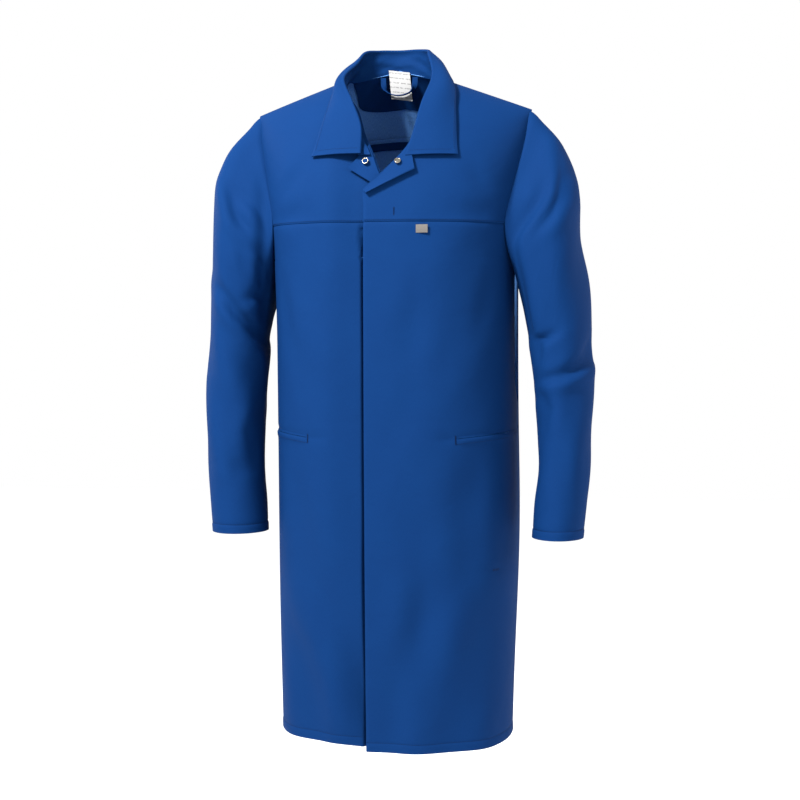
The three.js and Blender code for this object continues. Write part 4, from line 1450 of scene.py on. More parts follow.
    def tack(self, row: StitchRow, x: float, drop: float, height: float = 12.0, width: float = 2.0) -> None:
        """A bar tack: short stitches side by side.

        Args:
            row: The stitches that it joins.
            x: Its middle, from the coat's middle.
            drop: Its middle's drop.
            height: Its length down the cloth.
            width: Its width.
        """
        for k in np.linspace(-0.5, 0.5, 15):
            lean = 0.5 * width * np.array([-1.0, 1.0])
            row.sew(*self.row_on(x + lean, drop + k * height, 0.2))

    def stitching(self) -> list[bpy.types.Object]:
        """Topstitching along the yoke seam, hem and pocket, and the bar tacks."""
        coat, thread = self.coat, self.wardrobe.materials["thread"]
        seam = StitchRow(f"{self.label}_yoke_stitches", thread)
        edge = coat.front_armhole(coat.front_yoke_drop) - 2
        xs = np.linspace(-coat.overlap + 1.5, edge, 60)
        seam.sew(*self.row_on(xs, coat.front_yoke_drop - 1.4, 0.5))
        if self.side is Side.LEFT:
            self.tack(seam, 24.0, coat.front_yoke_drop - 14, height=11.0, width=1.6)
        yoke_row = place(seam.build(), "cloth_inside", body="root")

        low = StitchRow(f"{self.label}_front_stitches", thread)
        hem_line = coat.length - coat.hem_height
        turns = np.linspace(coat.turn_of(-coat.overlap + 1, coat.length), np.pi / 2 - 0.01, 80)
        low.sew(*self.row_on(coat.across(turns, hem_line), hem_line, 0.0))
        xs = np.linspace(coat.pocket_inner + 1, coat.body_half - 9, 30)
        low.sew(*self.row_on(xs, coat.pocket_line(xs) + 7.5, 0.0))
        tack_drop = float(coat.pocket_line(coat.pocket_inner)) + 1
        self.tack(low, coat.pocket_inner, tack_drop, height=12.5)
        if self.side is Side.LEFT:
            self.tack(low, *coat.bag_tack, height=3.0, width=8.0)
        low_rows = place(low.build(), "cloth_inside")
        self.fold.bend(low_rows)
        return [yoke_row, low_rows]

    def studs(self) -> list[bpy.types.Object]:
        """The fly's press studs: sockets under the left front, posts on the right one."""
        coat, made = self.coat, []
        left = self.side is Side.LEFT
        kind, radius = ("socket", 5.0) if left else ("post", 4.0)
        rim = [(0, 0), (radius, 0)]
        if left:
            profile = [*rim, (radius, 0.9), (radius * 0.8, 1.6), (radius * 0.5, 1.3), (0, 1.2)]
        else:
            profile = [*rim, (radius, 0.6), (radius * 0.5, 0.9), (radius * 0.45, 1.9), (0, 2.0)]
        for number, drop in enumerate(coat.stud_drops, start=1):
            node = f"front_stud_{kind}_{number}"
            low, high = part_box(node)
            centre = np.array((low + high) / 2) / MM
            _, normal = coat.front(Side.LEFT, 0.0, drop)
            direction = -normal if left else normal
            foot = centre - direction * 1.0
            name, metal = f"{self.label}_fly_{kind}_{number}", self.wardrobe.materials["metal"]
            piece = lathe(name, profile, foot, direction, [metal])
            self.fold.bend(piece)
            made.append(place(piece, "stud_metal", node))
        return made

    def dress(self) -> None:
        """Makes every piece of this front and logs its cloth's flat sizes."""
        coat = self.coat
        yoke, panel = self.yoke(), self.panel()
        plies, bag = self.inner_plies(), self.pocket_bag()
        rows, studs = self.stitching(), self.studs()
        size, panel_size = (250.0, 262.0), (262.0, coat.length - 221.0)
        declare(yoke, size, "hung", rests_on=["back_yoke_cloth"], share=0.8, with_pieces=[rows[0]])
        declare(panel, panel_size, "hung", rests_on=[yoke], share=0.98, with_pieces=[rows[1]])
        declare(plies[0], (self.facing_width, coat.length - 179.0), "hung", rests_on=[panel])
        declare(plies[1], (215.0, coat.hem_height), "hung", rests_on=[panel])
        if len(plies) > 2:
            declare(plies[2], (self.fly_width, 698.0), "hung", rests_on=[panel])
        declare(bag, (100.0, 230.0), "hung", rests_on=[panel])
        LOG.info("%s front: %d plies, %d studs", self.label, len(plies) + 3, len(studs))


@dataclass
class BackHalf:
    """The back: yoke, panel, seam tape, neck facing and hem."""

    coat: CoatBody
    wardrobe: Wardrobe
    cloth: float = 1.0
    tape_height: float = 12.0
    facing_share: float = 0.6
    ply: float = 1.8

    def neck_roll(self, x: Any) -> np.ndarray:
        """The roll at which the neck seam lies."""
        share = np.minimum(np.abs(x) / self.coat.neck_half, 1)
        y = self.coat.neck_back * np.sqrt(1 - share * share)
        return np.arcsin(np.minimum(y / 132, 1)) / np.pi * 2

    def yoke_grid(self, reach: np.ndarray, v: np.ndarray, depth: float) -> Points:
        """Points of the back yoke.

        Args:
            reach: Columns, -1 to 1 from the right to the left armhole.
            v: Rows, 0 at the yoke seam and 1 at the neck and shoulder seams.
            depth: Millimetres inside the outer face.

        Returns:
            The points, columns by rows.
        """
        coat = self.coat
        bottom = coat.back_yoke_drop + 0.8
        reach, v = reach[:, None], v[None, :]
        arm = blend(bottom, coat.shoulder_drop, v)
        neck_share = np.minimum(np.abs(reach) / 0.5, 1)
        arm_share = np.maximum(np.abs(reach) - 0.5, 0) / 0.5
        past_neck = (coat.shoulder_half - coat.neck_half) * arm_share
        seam_x = coat.neck_half * np.sin(neck_share * np.pi / 2) + past_neck
        x = np.sign(reach) * seam_x * coat.back_armhole(arm) / coat.shoulder_half
        seam = self.neck_roll(seam_x)
        roll = blend(coat.roll_of_drop(bottom - coat.seam_drop(x)), seam, v)
        drop = coat.seam_drop(x) + coat.drop_of_roll(roll)
        lip = 0.5 * smooth(drop, bottom - 9, bottom - 3) - 0.8 * smooth(drop, bottom - 1.6, bottom)
        points, _ = coat.skin(Face.BACK, coat.turn_of(x, drop), roll, depth - lip)
        return points

    def shell(self, name: str, points: Points, lining: bool, nodes: Sequence[str]) -> bpy.types.Object:
        """A ply of the back that rides on the coat's body.

        Args:
            name: The piece's name.
            points: Its outer grid.
            lining: Whether its right side faces in.
            nodes: CAD nodes that it replaces.

        Returns:
            The piece.
        """
        materials = self.wardrobe.lining() if lining else self.wardrobe.cloth()
        piece = Shell(name, points, materials, self.cloth).build()
        return place(piece, "cloth_inside" if lining else "cloth_blue", *nodes, body="root")

    def edge(self, drop: Any) -> np.ndarray:
        """The back's side edge: the armhole, then the side seam."""
        coat = self.coat
        return np.where(drop < coat.armpit_drop, coat.back_armhole(drop), coat.half_width(drop))

    def patch(self, drops: np.ndarray, count: int, depth: Any, shrink: float = 0.0) -> Points:
        """Points of the back between its side edges."""
        high = self.coat.turn_of(self.edge(drops) - shrink, drops)
        turn = np.linspace(-1, 1, count)[:, None] * high[None, :]
        drop = np.broadcast_to(drops[None, :], turn.shape)
        return self.coat.back(self.coat.across(turn, drop), drop, depth)[0]

    def dress(self) -> None:
        """Makes every piece of the back and logs its cloth's flat sizes."""
        coat = self.coat
        reach = np.linspace(-1, 1, 121)
        rows = np.concatenate([[0, 0.012, 0.024, 0.04], np.linspace(0.07, 1, 22)])
        cloth = self.yoke_grid(reach, rows, 0.0)
        yoke = self.shell("back_yoke_cloth", cloth, False, ["back_yoke"])
        fine = [coat.length - coat.hem_height]
        drops = spaced(coat.back_yoke_drop - 6, coat.length, 6, fine)
        tucked = 1.7 * (1 - smooth(drops, coat.back_yoke_drop - 1, coat.back_yoke_drop + 5))
        cloth = self.patch(drops, 111, tucked[None, :])
        panel = self.shell("back_panel_cloth", cloth, False, ["back_panel"])
        tape_rows = np.linspace(coat.back_yoke_drop, coat.back_yoke_drop + self.tape_height, 4)
        cloth = self.patch(tape_rows, 81, self.ply + 1.4, 3.0)
        tape = self.shell("back_seam_tape_cloth", cloth, True, ["back_yoke_seam_tape"])
        hem_rows = np.linspace(coat.length - coat.hem_height, coat.length - 0.5, 4)
        hem = self.shell("back_hem_cloth", self.patch(hem_rows, 81, self.ply, 1.5), True, ["back_hem"])
        inner = np.linspace(-0.5, 0.5, 61)
        facing_rows = np.linspace(1 - self.facing_share, 1, 10)
        cloth = self.yoke_grid(inner, facing_rows, self.ply)
        facing = self.shell("back_neck_facing_cloth", cloth, True, ["back_neck_facing"])
        thread = self.wardrobe.materials["thread"]
        stitches = StitchRow("back_stitches", thread)
        edge = float(coat.back_armhole(coat.back_yoke_drop)) - 3
        xs = np.linspace(-edge, edge, 90)
        points, normals = coat.skin(
            Face.BACK,
            coat.turn_of(xs, coat.back_yoke_drop - 1.4),
            coat.roll_of_drop(coat.back_yoke_drop - 1.4 - coat.seam_drop(xs)),
            np.full(xs.shape, -0.5),
        )
        stitches.sew(points, normals)
        turn = np.linspace(-np.pi / 2 + 0.01, np.pi / 2 - 0.01, 140)
        low = coat.length - coat.hem_height
        stitches.sew(*coat.back(coat.across(turn, low), np.full(turn.shape, low)))
        rows_piece = place(stitches.build(), "cloth_inside", body="root")
        declare(yoke, (440.0, 150.0), "hung", rests_on=["left_yoke_cloth", "right_yoke_cloth"], share=0.8)
        declare(panel, (520.0, coat.length - 89.0), "hung", rests_on=[yoke], with_pieces=[rows_piece])
        declare(tape, (440.0, self.tape_height), "hung", rests_on=[yoke])
        declare(hem, (520.0, coat.hem_height), "hung", rests_on=[panel])
        declare(facing, (165.0, 70.0), "hung", rests_on=[yoke])
        LOG.info("back: 5 plies")


# ---------------------------------------------------------------- sleeves


SLEEVE_CREASES: dict[Side, tuple[Crease, ...]] = {
    Side.RIGHT: (
        Crease(((240, 168), (220, 187), (202, 200), (188, 212)), depth=3.6, width=9),
        Crease(((256, 158), (241, 187), (230, 214), (218, 230), (204, 243)), depth=4.0, width=9),
        Crease(((216, 262), (204, 266), (192, 267)), depth=3.0, width=6),
        Crease(((222, 262), (219, 300)), depth=2.2, width=7),
        Crease(((262, 322), (241, 351), (220, 376), (203, 404), (194, 424)), depth=6.0, width=9),
        Crease(((224, 344), (208, 334), (196, 330)), depth=3.2, width=7),
        Crease(((204, 505), (214, 545), (208, 600)), depth=2.6, width=10),
        Crease(((240, 585), (228, 620)), depth=1.6, width=14),
        Crease(((286, 300), (292, 380), (286, 440)), depth=2.2, width=16, ridge=0.2),
        Crease(((190, 168), (188, 240), (192, 320), (200, 390)), depth=7.0, width=12, ridge=0.6),
    ),
    Side.LEFT: (
        Crease(((196, 198), (211, 207), (206, 226), (195, 246)), depth=3.4, width=8),
        Crease(((237, 166), (230, 193), (216, 223), (204, 240)), depth=4.0, width=9),
        Crease(((259, 116), (266, 154), (262, 189), (248, 217), (224, 242)), depth=4.0, width=9),
        Crease(((252, 392), (241, 399), (231, 402), (229, 430)), depth=4.0, width=7),
        Crease(((312, 400), (303, 431), (285, 446), (264, 455), (242, 460)), depth=6.0, width=8),
        Crease(((228, 470), (240, 505), (232, 545)), depth=3.0, width=12),
        Crease(((206, 300), (210, 350), (216, 400)), depth=3.0, width=9),
        Crease(((262, 560), (270, 640)), depth=1.6, width=16),
        Crease(((192, 215), (188, 260), (196, 330), (206, 390)), depth=7.0, width=12, ridge=0.6),
    ),
}


@dataclass
class Sleeve:
    """One sleeve: two lengths of a tube, the cuff's hem, its slit with a placket, and the stud."""

    side: Side
    coat: CoatBody
    wardrobe: Wardrobe
    elbow_drop: float = 400.0
    cuff_drop: float = 702.0
    hem_height: float = 14.0
    slit_height: float = 54.0
    columns: int = 96
    slit_column: int = 84
    stud_column: int = 78
    ease: float = 90.0
    head_ease: float = 38.0
    cloth: float = 1.0
    ply: float = 1.8
    elbow_curl: float = 95.0
    head_reach: float = 222.0  # where the raised arm's bend starts, from the middle
    head_curl: float = 26.0
    head_lean: float = 0.11
    elbow_x: float = 258.0
    fold_depth: float = 2.5  # share of the creases' listed depths
    fold_limit: float = 7.5
    easing: int = 3  # how often the tube's columns are averaged with their neighbours
    nearer: float = 11.0  # how much nearer the body the right arm hangs
    tuck: float = 4.0  # how far the sleeve starts inside the armhole's edge
    waves: Undulation = Undulation(3.2, across=130.0, down=190.0, seed=21)

    def __post_init__(self) -> None:
        """Sets the curves that the tube follows."""
        s, b = self.coat.shoulder_half, self.coat.body_half
        self.outer = Stations(
            (51, s + 10), (76, 244), (113, 266), (163, 281), (235, 289), (313, 300), (422, 309),
            (575, 307), (650, 301), (702, 296),
        )  # fmt: skip
        self.inner = Stations(
            (51, b - 8), (278, b + 4), (370, 204), (418, 213), (500, 221), (577, 226), (650, 222), (702, 219)
        )
        if self.side is Side.RIGHT:
            self.outer.values -= self.nearer * smooth(self.outer.drops, 163, 422)
            self.inner.values -= (self.nearer + 8) * smooth(self.inner.drops, 278, 577)
        self.half_depth = Stations(
            (51, 62), (150, 76), (235, 84), (330, 80), (400, 72), (600, 60), (702, 54)
        )
        self.middle_y = Stations((51, 2), (278, 8), (400, 4), (702, -20))

    @property
    def label(self) -> str:
        """The side's name."""
        return self.side.label

    def section(self, turn: Any, drop: Any) -> Points:
        """A point of the plain tube.

        Args:
            turn: Turn round the arm from its outer line, front first.
            drop: Drop of the point.

        Returns:
            The points.
        """
        outer, inner = self.outer(drop), self.inner(drop)
        x = (outer + inner) / 2 + (outer - inner) / 2 * np.cos(turn)
        y = self.middle_y(drop) - self.half_depth(drop) * np.sin(turn)
        return np.stack([x, y, -np.broadcast_to(drop, x.shape)], axis=-1)

    def seam_drop(self, turn: Any) -> np.ndarray:
        """The drop of the armhole seam at a turn."""
        return blend(self.coat.shoulder_drop, self.coat.armpit_drop, (1 - np.cos(turn)) / 2)

    def armhole(self, turn: np.ndarray) -> Points:
        """Points of the armhole seam."""
        coat, drop = self.coat, self.seam_drop(turn)
        front = np.sin(turn) >= 0
        x = np.where(front, coat.front_armhole(drop), coat.back_armhole(drop))
        x = x - self.tuck
        roll = coat.roll_of_drop(drop - coat.seam_drop(x))
        ahead = coat.point(Face.FRONT, coat.turn_of(x, drop), roll)
        behind = coat.point(Face.BACK, coat.turn_of(x, drop), roll)
        y = np.where(front, ahead[..., 1], behind[..., 1])
        return np.stack([x, y, -drop], axis=-1)

    def skin(self, turn: np.ndarray, drop: np.ndarray) -> Points:
        """Points of the sleeve before folds, pulled onto the armhole at its top."""
        start = self.seam_drop(turn)
        pull = self.armhole(turn) - self.section(turn, start)
        ease = blend(self.head_ease, self.ease, (1 - np.cos(turn)) / 2)
        fade = np.exp(-(((drop - start) / ease) ** 2) * 1.2)
        return self.section(turn, drop) + pull * fade[..., None]

    def relief(self, turn: np.ndarray, points: Points) -> np.ndarray:
        """How far folds and waves move the cloth outwards."""
        x, drop = points[..., 0], -points[..., 2]
        start = self.seam_drop(turn)
        shift = 0.0 if self.side is Side.LEFT else 900.0
        ahead, behind = smooth(np.sin(turn), -0.15, 0.4), smooth(-np.sin(turn), -0.15, 0.4)
        folds = sum(c.relief(x, drop) for c in SLEEVE_CREASES[self.side]) * self.fold_depth
        folds = self.fold_limit * np.tanh(folds / self.fold_limit)
        ring = 64.0 * turn
        waves = self.waves.relief(np.abs(ring - 64.0 * np.pi) + shift, drop)
        fade_in = smooth(drop - start, 0, 60)
        cuff = self.cuff_drop - self.hem_height
        calm = 1 - 0.75 * smooth(drop, cuff - 60, cuff)
        hem = hem_relief(drop, cuff, groove=0.5, run=4.0)
        head = 2.0 * bell(drop - start, 9, 8) * smooth(np.cos(turn), -0.2, 0.6)
        tuck = -1.6 * (1 - smooth(drop - start, 0, 5))
        folds = folds * (ahead + 0.45 * behind) * smooth(drop - start, 2, 40)
        return (folds + waves * fade_in) * calm + hem + head + tuck

    def surface(self, turn: Any, drop: Any, depth: Any = 0.0) -> tuple[Points, Points]:
        """Points on the sleeve.

        Args:
            turn: Turn round the arm.
            drop: Drop of each point.
            depth: Millimetres inwards from the outer face.

        Returns:
            The points and the outward normals.
        """
        turn, drop = np.broadcast_arrays(np.asarray(turn, float), np.asarray(drop, float))
        step_turn, step_drop = 0.02, 1.5
        low = np.clip(drop, self.seam_drop(turn) + step_drop, self.cuff_drop - step_drop)
        round_it = self.skin(turn + step_turn, low) - self.skin(turn - step_turn, low)
        down = self.skin(turn, low + step_drop) - self.skin(turn, low - step_drop)
        normal = np.cross(round_it, down)
        normal = normal / np.linalg.norm(normal, axis=-1, keepdims=True)
        bare = self.skin(turn, drop)
        middle = (self.outer(drop) + self.inner(drop)) / 2
        toward = np.stack([bare[..., 0] - middle, bare[..., 1] - self.middle_y(drop)], axis=-1)
        if (normal[..., :2] * toward).sum() < 0:
            normal = -normal
        move = self.relief(turn, bare) - depth
        mirror = np.array([self.side.value, 1.0, 1.0])
        return (bare + normal * move[..., None]) * mirror, normal * mirror

    def turns(self) -> np.ndarray:
        """The grid's columns."""
        return np.linspace(0, 2 * np.pi, self.columns, endpoint=False)

    def tube(
        self, name: str, drop: np.ndarray, materials: list[Any], depth: float, slit: bool
    ) -> bpy.types.Object:
        """A length of sleeve.

        Args:
            name: The piece's name.
            drop: Drop of each grid point, columns by rows.
            materials: Its materials.
            depth: Millimetres inside the outer face.
            slit: Whether the cuff's slit runs through it.

        Returns:
            The piece.
        """
        turn = np.broadcast_to(self.turns()[:, None], drop.shape)
        points, _ = self.surface(turn, drop, depth)
        for _ in range(self.easing):
            points = (np.roll(points, 1, axis=0) + 2 * points + np.roll(points, -1, axis=0)) / 4
        holes = np.zeros(drop.shape, bool)
        if slit:
            below = drop[self.slit_column] > self.cuff_drop - self.slit_height
            holes[self.slit_column] = below
        middle = (self.side.value * 250.0, 0.0)
        shell = Shell(name, points, materials, self.cloth, wrap=True, away_from=middle, holes=holes)
        return shell.build()

    def arm_bend(self, piece: bpy.types.Object) -> None:
        """Bakes the sleeve's transform into its mesh; its head is not bent."""
        f"{self.label}_upper_arm"
        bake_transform(piece)

    def elbow_bend(self, piece: bpy.types.Object) -> None:
        """Bakes the sleeve's transform into its mesh; it is not bent at the elbow."""
        arm, forearm = f"{self.label}_upper_arm", f"{self.label}_forearm"
        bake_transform(piece)

    def stud(self) -> bpy.types.Object:
        """The cuff's ring stud."""
        turn = self.stud_column / self.columns * 2 * np.pi
        drop = self.cuff_drop - self.hem_height / 2 - 0.5
        point, normal = self.surface(np.array([turn]), np.array([drop]))
        metal = self.wardrobe.materials["metal"]
        return ring_stud(f"{self.label}_cuff_ring", point[0], normal[0], [metal, metal])

    def dress(self) -> None:
        """Makes every piece of this sleeve and logs its cloth's flat sizes."""
        turns = self.turns()
        seam = self.seam_drop(turns)[:, None]
        rows = np.concatenate([[0, 0.008, 0.018, 0.032], np.linspace(0.055, 1, 48)])[None, :]
        cloth, drops = self.wardrobe.cloth(), blend(seam, self.elbow_drop, rows)
        upper = self.tube(f"{self.label}_upper_cloth", drops, cloth, 0.0, False)
        place(upper, "cloth_blue", f"{self.label}_upper_sleeve")
        self.arm_bend(upper)

        fine = [self.cuff_drop - self.hem_height, self.cuff_drop - self.slit_height]
        lines = spaced(self.elbow_drop, self.cuff_drop, 5, fine)
        drops = np.broadcast_to(lines[None, :], (self.columns, len(lines)))
        lower = self.tube(f"{self.label}_lower_cloth", drops, cloth, 0.0, True)
        place(lower, "cloth_blue", f"{self.label}_lower_sleeve")
        self.elbow_bend(lower)

        rows = np.linspace(self.cuff_drop - self.hem_height, self.cuff_drop - 0.5, 4)
        hem_drops = np.broadcast_to(rows[None, :], (self.columns, len(rows)))
        hem = self.tube(f"{self.label}_cuff_hem_cloth", hem_drops, self.wardrobe.lining(), self.ply, True)
        forearm = f"{self.label}_forearm"
        place(hem, "cloth_inside", f"{self.label}_cuff_hem", body=forearm)

        step = 2 * np.pi / self.columns
        placket_turns = (self.slit_column + np.linspace(-5.5, 6.5, 13))[:, None] * step
        rows = np.linspace(self.cuff_drop - self.slit_height - 6, self.cuff_drop - 2, 12)[None, :]
        turn, drop = np.broadcast_arrays(placket_turns, rows)
        points, _ = self.surface(turn, drop, 2 * self.ply)
        middle = (self.side.value * 250.0, 0.0)
        name, lining = f"{self.label}_placket_cloth", self.wardrobe.lining()
        placket = Shell(name, points, lining, self.cloth, away_from=middle).build()
        place(placket, "cloth_inside", f"{self.label}_cuff_placket", body=forearm)

        stud = place(self.stud(), "stud_metal", f"{self.label}_cuff_stud", body=forearm)

        row = StitchRow(f"{self.label}_cuff_stitches", self.wardrobe.materials["thread"])
        span = np.linspace(0, 2 * np.pi, 90) + (self.slit_column + 2) * step
        row.sew(*self.surface(span[:-4], np.full(86, self.cuff_drop - self.hem_height)))
        for column in (self.slit_column - 1.2, self.slit_column + 2.2):
            lines = np.linspace(self.cuff_drop - self.slit_height - 3, self.cuff_drop - 3, 20)
            row.sew(*self.surface(np.full(20, column * step), lines))
        stitches = place(row.build(), "cloth_inside", body=forearm)
        declare(upper, (400.0, 340.0), "hung", rests_on=[f"{self.label}_yoke_cloth"], share=0.62)
        size, trims = (275.0, self.cuff_drop - self.elbow_drop), [stitches, stud]
        declare(lower, size, "hung", rests_on=[upper], share=0.98, with_pieces=trims)
        declare(hem, (215.0, self.hem_height), "hung", rests_on=[lower])
        declare(placket, (40.0, 58.0), "hung", rests_on=[lower])
        LOG.info("%s sleeve: 4 plies and a stud", self.label)


STUD_GAP = 0.2  # between a ring stud and its cloth, in millimetres


def ring_stud(name: str, point: Points, normal: Points, materials: list[Any]) -> bpy.types.Object:
    """An open-ring press-stud cap on cloth.

    Args:
        name: The piece's name.
        point: Where it stands, in millimetres.
        normal: The cloth's outward direction.
        materials: The ring's material and the one seen inside it.

    Returns:
        The piece.
    """
    profile = [(0, 0), (4.6, 0), (5.0, 0.35), (4.9, 0.9), (4.5, 1.2), (4.0, 1.1), (3.65, 0.75), (3.5, 0.3)]
    profile += [(3.0, 0.28), (1.6, 0.42), (0, 0.45)]
    return lathe(name, profile, point + normal * STUD_GAP, normal, materials, last_rings=3)


# ---------------------------------------------------------------- collar and lapels


@dataclass
class Collar:
    """The turn-down collar: one cloth that stands up from the neck seam and falls to its leaves."""

    coat: CoatBody
    back: BackHalf
    wardrobe: Wardrobe
    stand_height: float = 34.0
    lift: float = 8.0
    crown: float = 6.0
    back_edge: float = 10.0
    fold_radius: float = 2.6
    seam_lap: float = 3.5  # how far the stand's foot reaches under the neck seam
    cloth: float = 1.6
    columns: int = 150

    def on_front(self, x: float, drop: float, depth: float) -> Points:
        """A point on the left front's bare surface."""
        coat = self.coat
        turn = coat.turn_of(x, drop)
        points, _ = coat.skin(Face.FRONT, turn, coat.roll_of_drop(drop - coat.seam_drop(x)), depth)
        return points

    def on_back(self, x: float, drop: float, depth: float) -> Points:
        """A point on the back's bare surface."""
        coat = self.coat
        turn = coat.turn_of(x, drop)
        points, _ = coat.skin(Face.BACK, turn, coat.roll_of_drop(drop - coat.seam_drop(x)), depth)
        return points

    def round_neck(
        self, middle: Sequence[Points], right: Sequence[Points], left: Sequence[Points]
    ) -> Spline:
        """A curve from the right front, round the back, to the left front.

        Args:
            middle: From the middle of the back to the shoulder, the same on both sides.
            right: From the shoulder down the right front, with X towards the left.
            left: From the shoulder down the left front.

        Returns:
            The curve.
        """
        mirror = np.array([-1.0, 1.0, 1.0])
        mirrored = [np.array(p) * mirror for p in (*middle[1:], *right)]
        return Spline([*mirrored[::-1], *[np.array(p, float) for p in (*middle, *left)]])

    def curves(self) -> tuple[Spline, Spline, Spline]:
        """The neck seam, the collar's fold and its outer edge."""
        coat, n = self.coat, self.coat.neck_half
        sides = (Side.RIGHT, Side.LEFT)

        def neck_back_point(x: float) -> Points:
            """A point on the back neck seam."""
            roll = self.back.neck_roll(x)
            drop = coat.seam_drop(x) + coat.drop_of_roll(roll)
            return coat.point(Face.BACK, coat.turn_of(x, drop), roll)

        seam = self.round_neck(
            [neck_back_point(0.0), neck_back_point(n * 0.55), neck_back_point(n * 0.9), (n, 2.0, 0.0)],
            *[
                [self.on_front(float(coat.neck_edge[side](d)), d, 0.0) for d in (32.0, 66.0, 99.0, 124.0)]
                for side in sides
            ],
        )
        top = self.stand_height - float(coat.seam_drop(0)) - 6
        slope = {
            Side.RIGHT: [(n * 0.84, 0.0, top - 26)],
            Side.LEFT: [(n * 0.79, 0.0, top - 15)],
        }
        rolls = {
            Side.RIGHT: ((16.0, 0, 16), (52.0, 0, 16), (90.0, 0, 11), (128.0, 17, 6)),
            Side.LEFT: ((14.0, -4, 15), (58.0, -2, 16), (99.0, 1, 10), (132.0, 10, 6)),
        }
        fold = self.round_neck(
            [
                (0.0, coat.neck_back + 6, top),
                (n * 0.45, coat.neck_back - 3, top - 1),
                (n * 0.72, coat.neck_back * 0.5, top - 6),
            ],
            *[
                slope[side]
                + [
                    self.on_front(float(coat.neck_edge[side](d)) + out, d, -lift)
                    for d, out, lift in rolls[side]
                ]
                for side in sides
            ],
        )
        rims = {
            Side.RIGHT: ((80.0, 24.0), (88.0, 57.0), (95.0, 91.0), (104.5, 130.0)),
            Side.LEFT: ((101.0, 27.0), (106.0, 60.0), (109.0, 97.0), (112.5, 130.0)),
        }
        crossing = {
            Side.RIGHT: [(n + 4, 2.0, self.lift + 1 - float(coat.seam_drop(n + 4)))],
            Side.LEFT: [(n + 14, 2.0, self.lift - float(coat.seam_drop(n + 14)))],
        }
        edge = self.round_neck(
            [
                self.on_back(0.0, self.back_edge, -self.lift),
                self.on_back(n * 0.6, self.back_edge, -self.lift),
                self.on_back(n * 0.95, self.back_edge + 4, -self.lift),
            ],
            *[
                crossing[side] + [self.on_front(x, drop, -self.lift + 1.5) for x, drop in rims[side]]
                for side in sides
            ],
        )
        return seam, fold, edge

    def grid(self) -> tuple[Points, Points]:
        """The collar's cloth.

        Returns:
            The points of its upper side, and the way that side faces.
        """
        seam_curve, fold_curve, edge_curve = self.curves()
        share = np.linspace(0.0, 1.0, self.columns)
        seam, fold, edge = seam_curve(share), fold_curve(share), edge_curve(share)
        along = np.gradient(fold, axis=0)
        out = np.cross(along, edge - fold)
        out /= np.linalg.norm(out, axis=1, keepdims=True)
        wrong = (out * (fold * [1, 1, 0] + [0, 0, 40])).sum(axis=1) < 0
        out[wrong] *= -1
        fall = edge - fold
        fall_unit = fall / np.linalg.norm(fall, axis=1, keepdims=True)
        radius = self.fold_radius
        middle = fold - out * radius
        rows, faces = [], []
        stand_top = middle - out * radius
        gathers = Undulation(3.0, across=0.11, down=9.0, seed=6)
        for v in np.linspace(0, 0.92, 9):
            pleat = gathers.relief(share, np.full(share.shape, v)) * np.sin(np.pi * v)
            lean = -1.5 * np.sin(np.pi * v) + pleat
            foot = seam - out * 1.0 - np.array([0.0, 0.0, self.seam_lap])
            rows.append(blend(foot, stand_top + fall_unit * 4, v) + out * lean[:, None])
            faces.append(-out)
        for angle in np.radians([205, 180, 150, 120, 90, 60, 30, 10]):
            rows.append(middle + radius * (np.cos(angle) * out - np.sin(angle) * fall_unit))
            faces.append(np.cos(angle) * out)
        ripple = Undulation(1.1, across=0.9, down=3.0, seed=3)
        for v in np.concatenate([np.linspace(0.03, 0.93, 22), [0.955, 0.975, 0.99, 1.0]]):
            fuller = 1 - 0.45 * smooth(np.abs(2 * share - 1), 0.55, 0.95)
            bulge = self.crown * np.sin(np.pi * v) * fuller
            wave = ripple.relief(share * 7, np.full(share.shape, v)) * v
            curl = -1.3 * smooth(v, 0.95, 1.0)
            spread = fold + fall * v + out * (bulge + wave + curl)[:, None]
            rows.append(spread)
            faces.append(out)
        return np.stack(rows, axis=1), np.stack(faces, axis=1)

    def dress(self) -> None:
        """Makes the collar and its edge stitching."""
        points, facing = self.grid()
        cloth = [self.wardrobe.materials["right_side"]]
        nodes = ["collar_stand", "collar_fall_back", "left_collar_wing", "right_collar_wing"]
        piece = Shell("collar_cloth", points, cloth, self.cloth, facing=facing).build()
        place(piece, "cloth_blue", *nodes, body="root")
        normals = grid_normals(points)
        if (normals * facing).sum() < 0:
            normals = -normals
        row = StitchRow("collar_stitches", self.wardrobe.materials["thread"], height=0.3, half_width=0.28)
        low = -5
        row.sew(points[2:-2, low], normals[2:-2, low])
        for end in (2, -3):
            row.sew(points[end, 17:low], normals[end, 17:low])
        stitches = place(row.build(), "cloth_inside", body="root")
        size, under = (470.0, 118.0), ["back_yoke_cloth"]
        declare(piece, size, "folded", rests_on=under, share=0.95, with_pieces=[stitches])
        LOG.info("collar: stand, fold and leaves in one cloth")


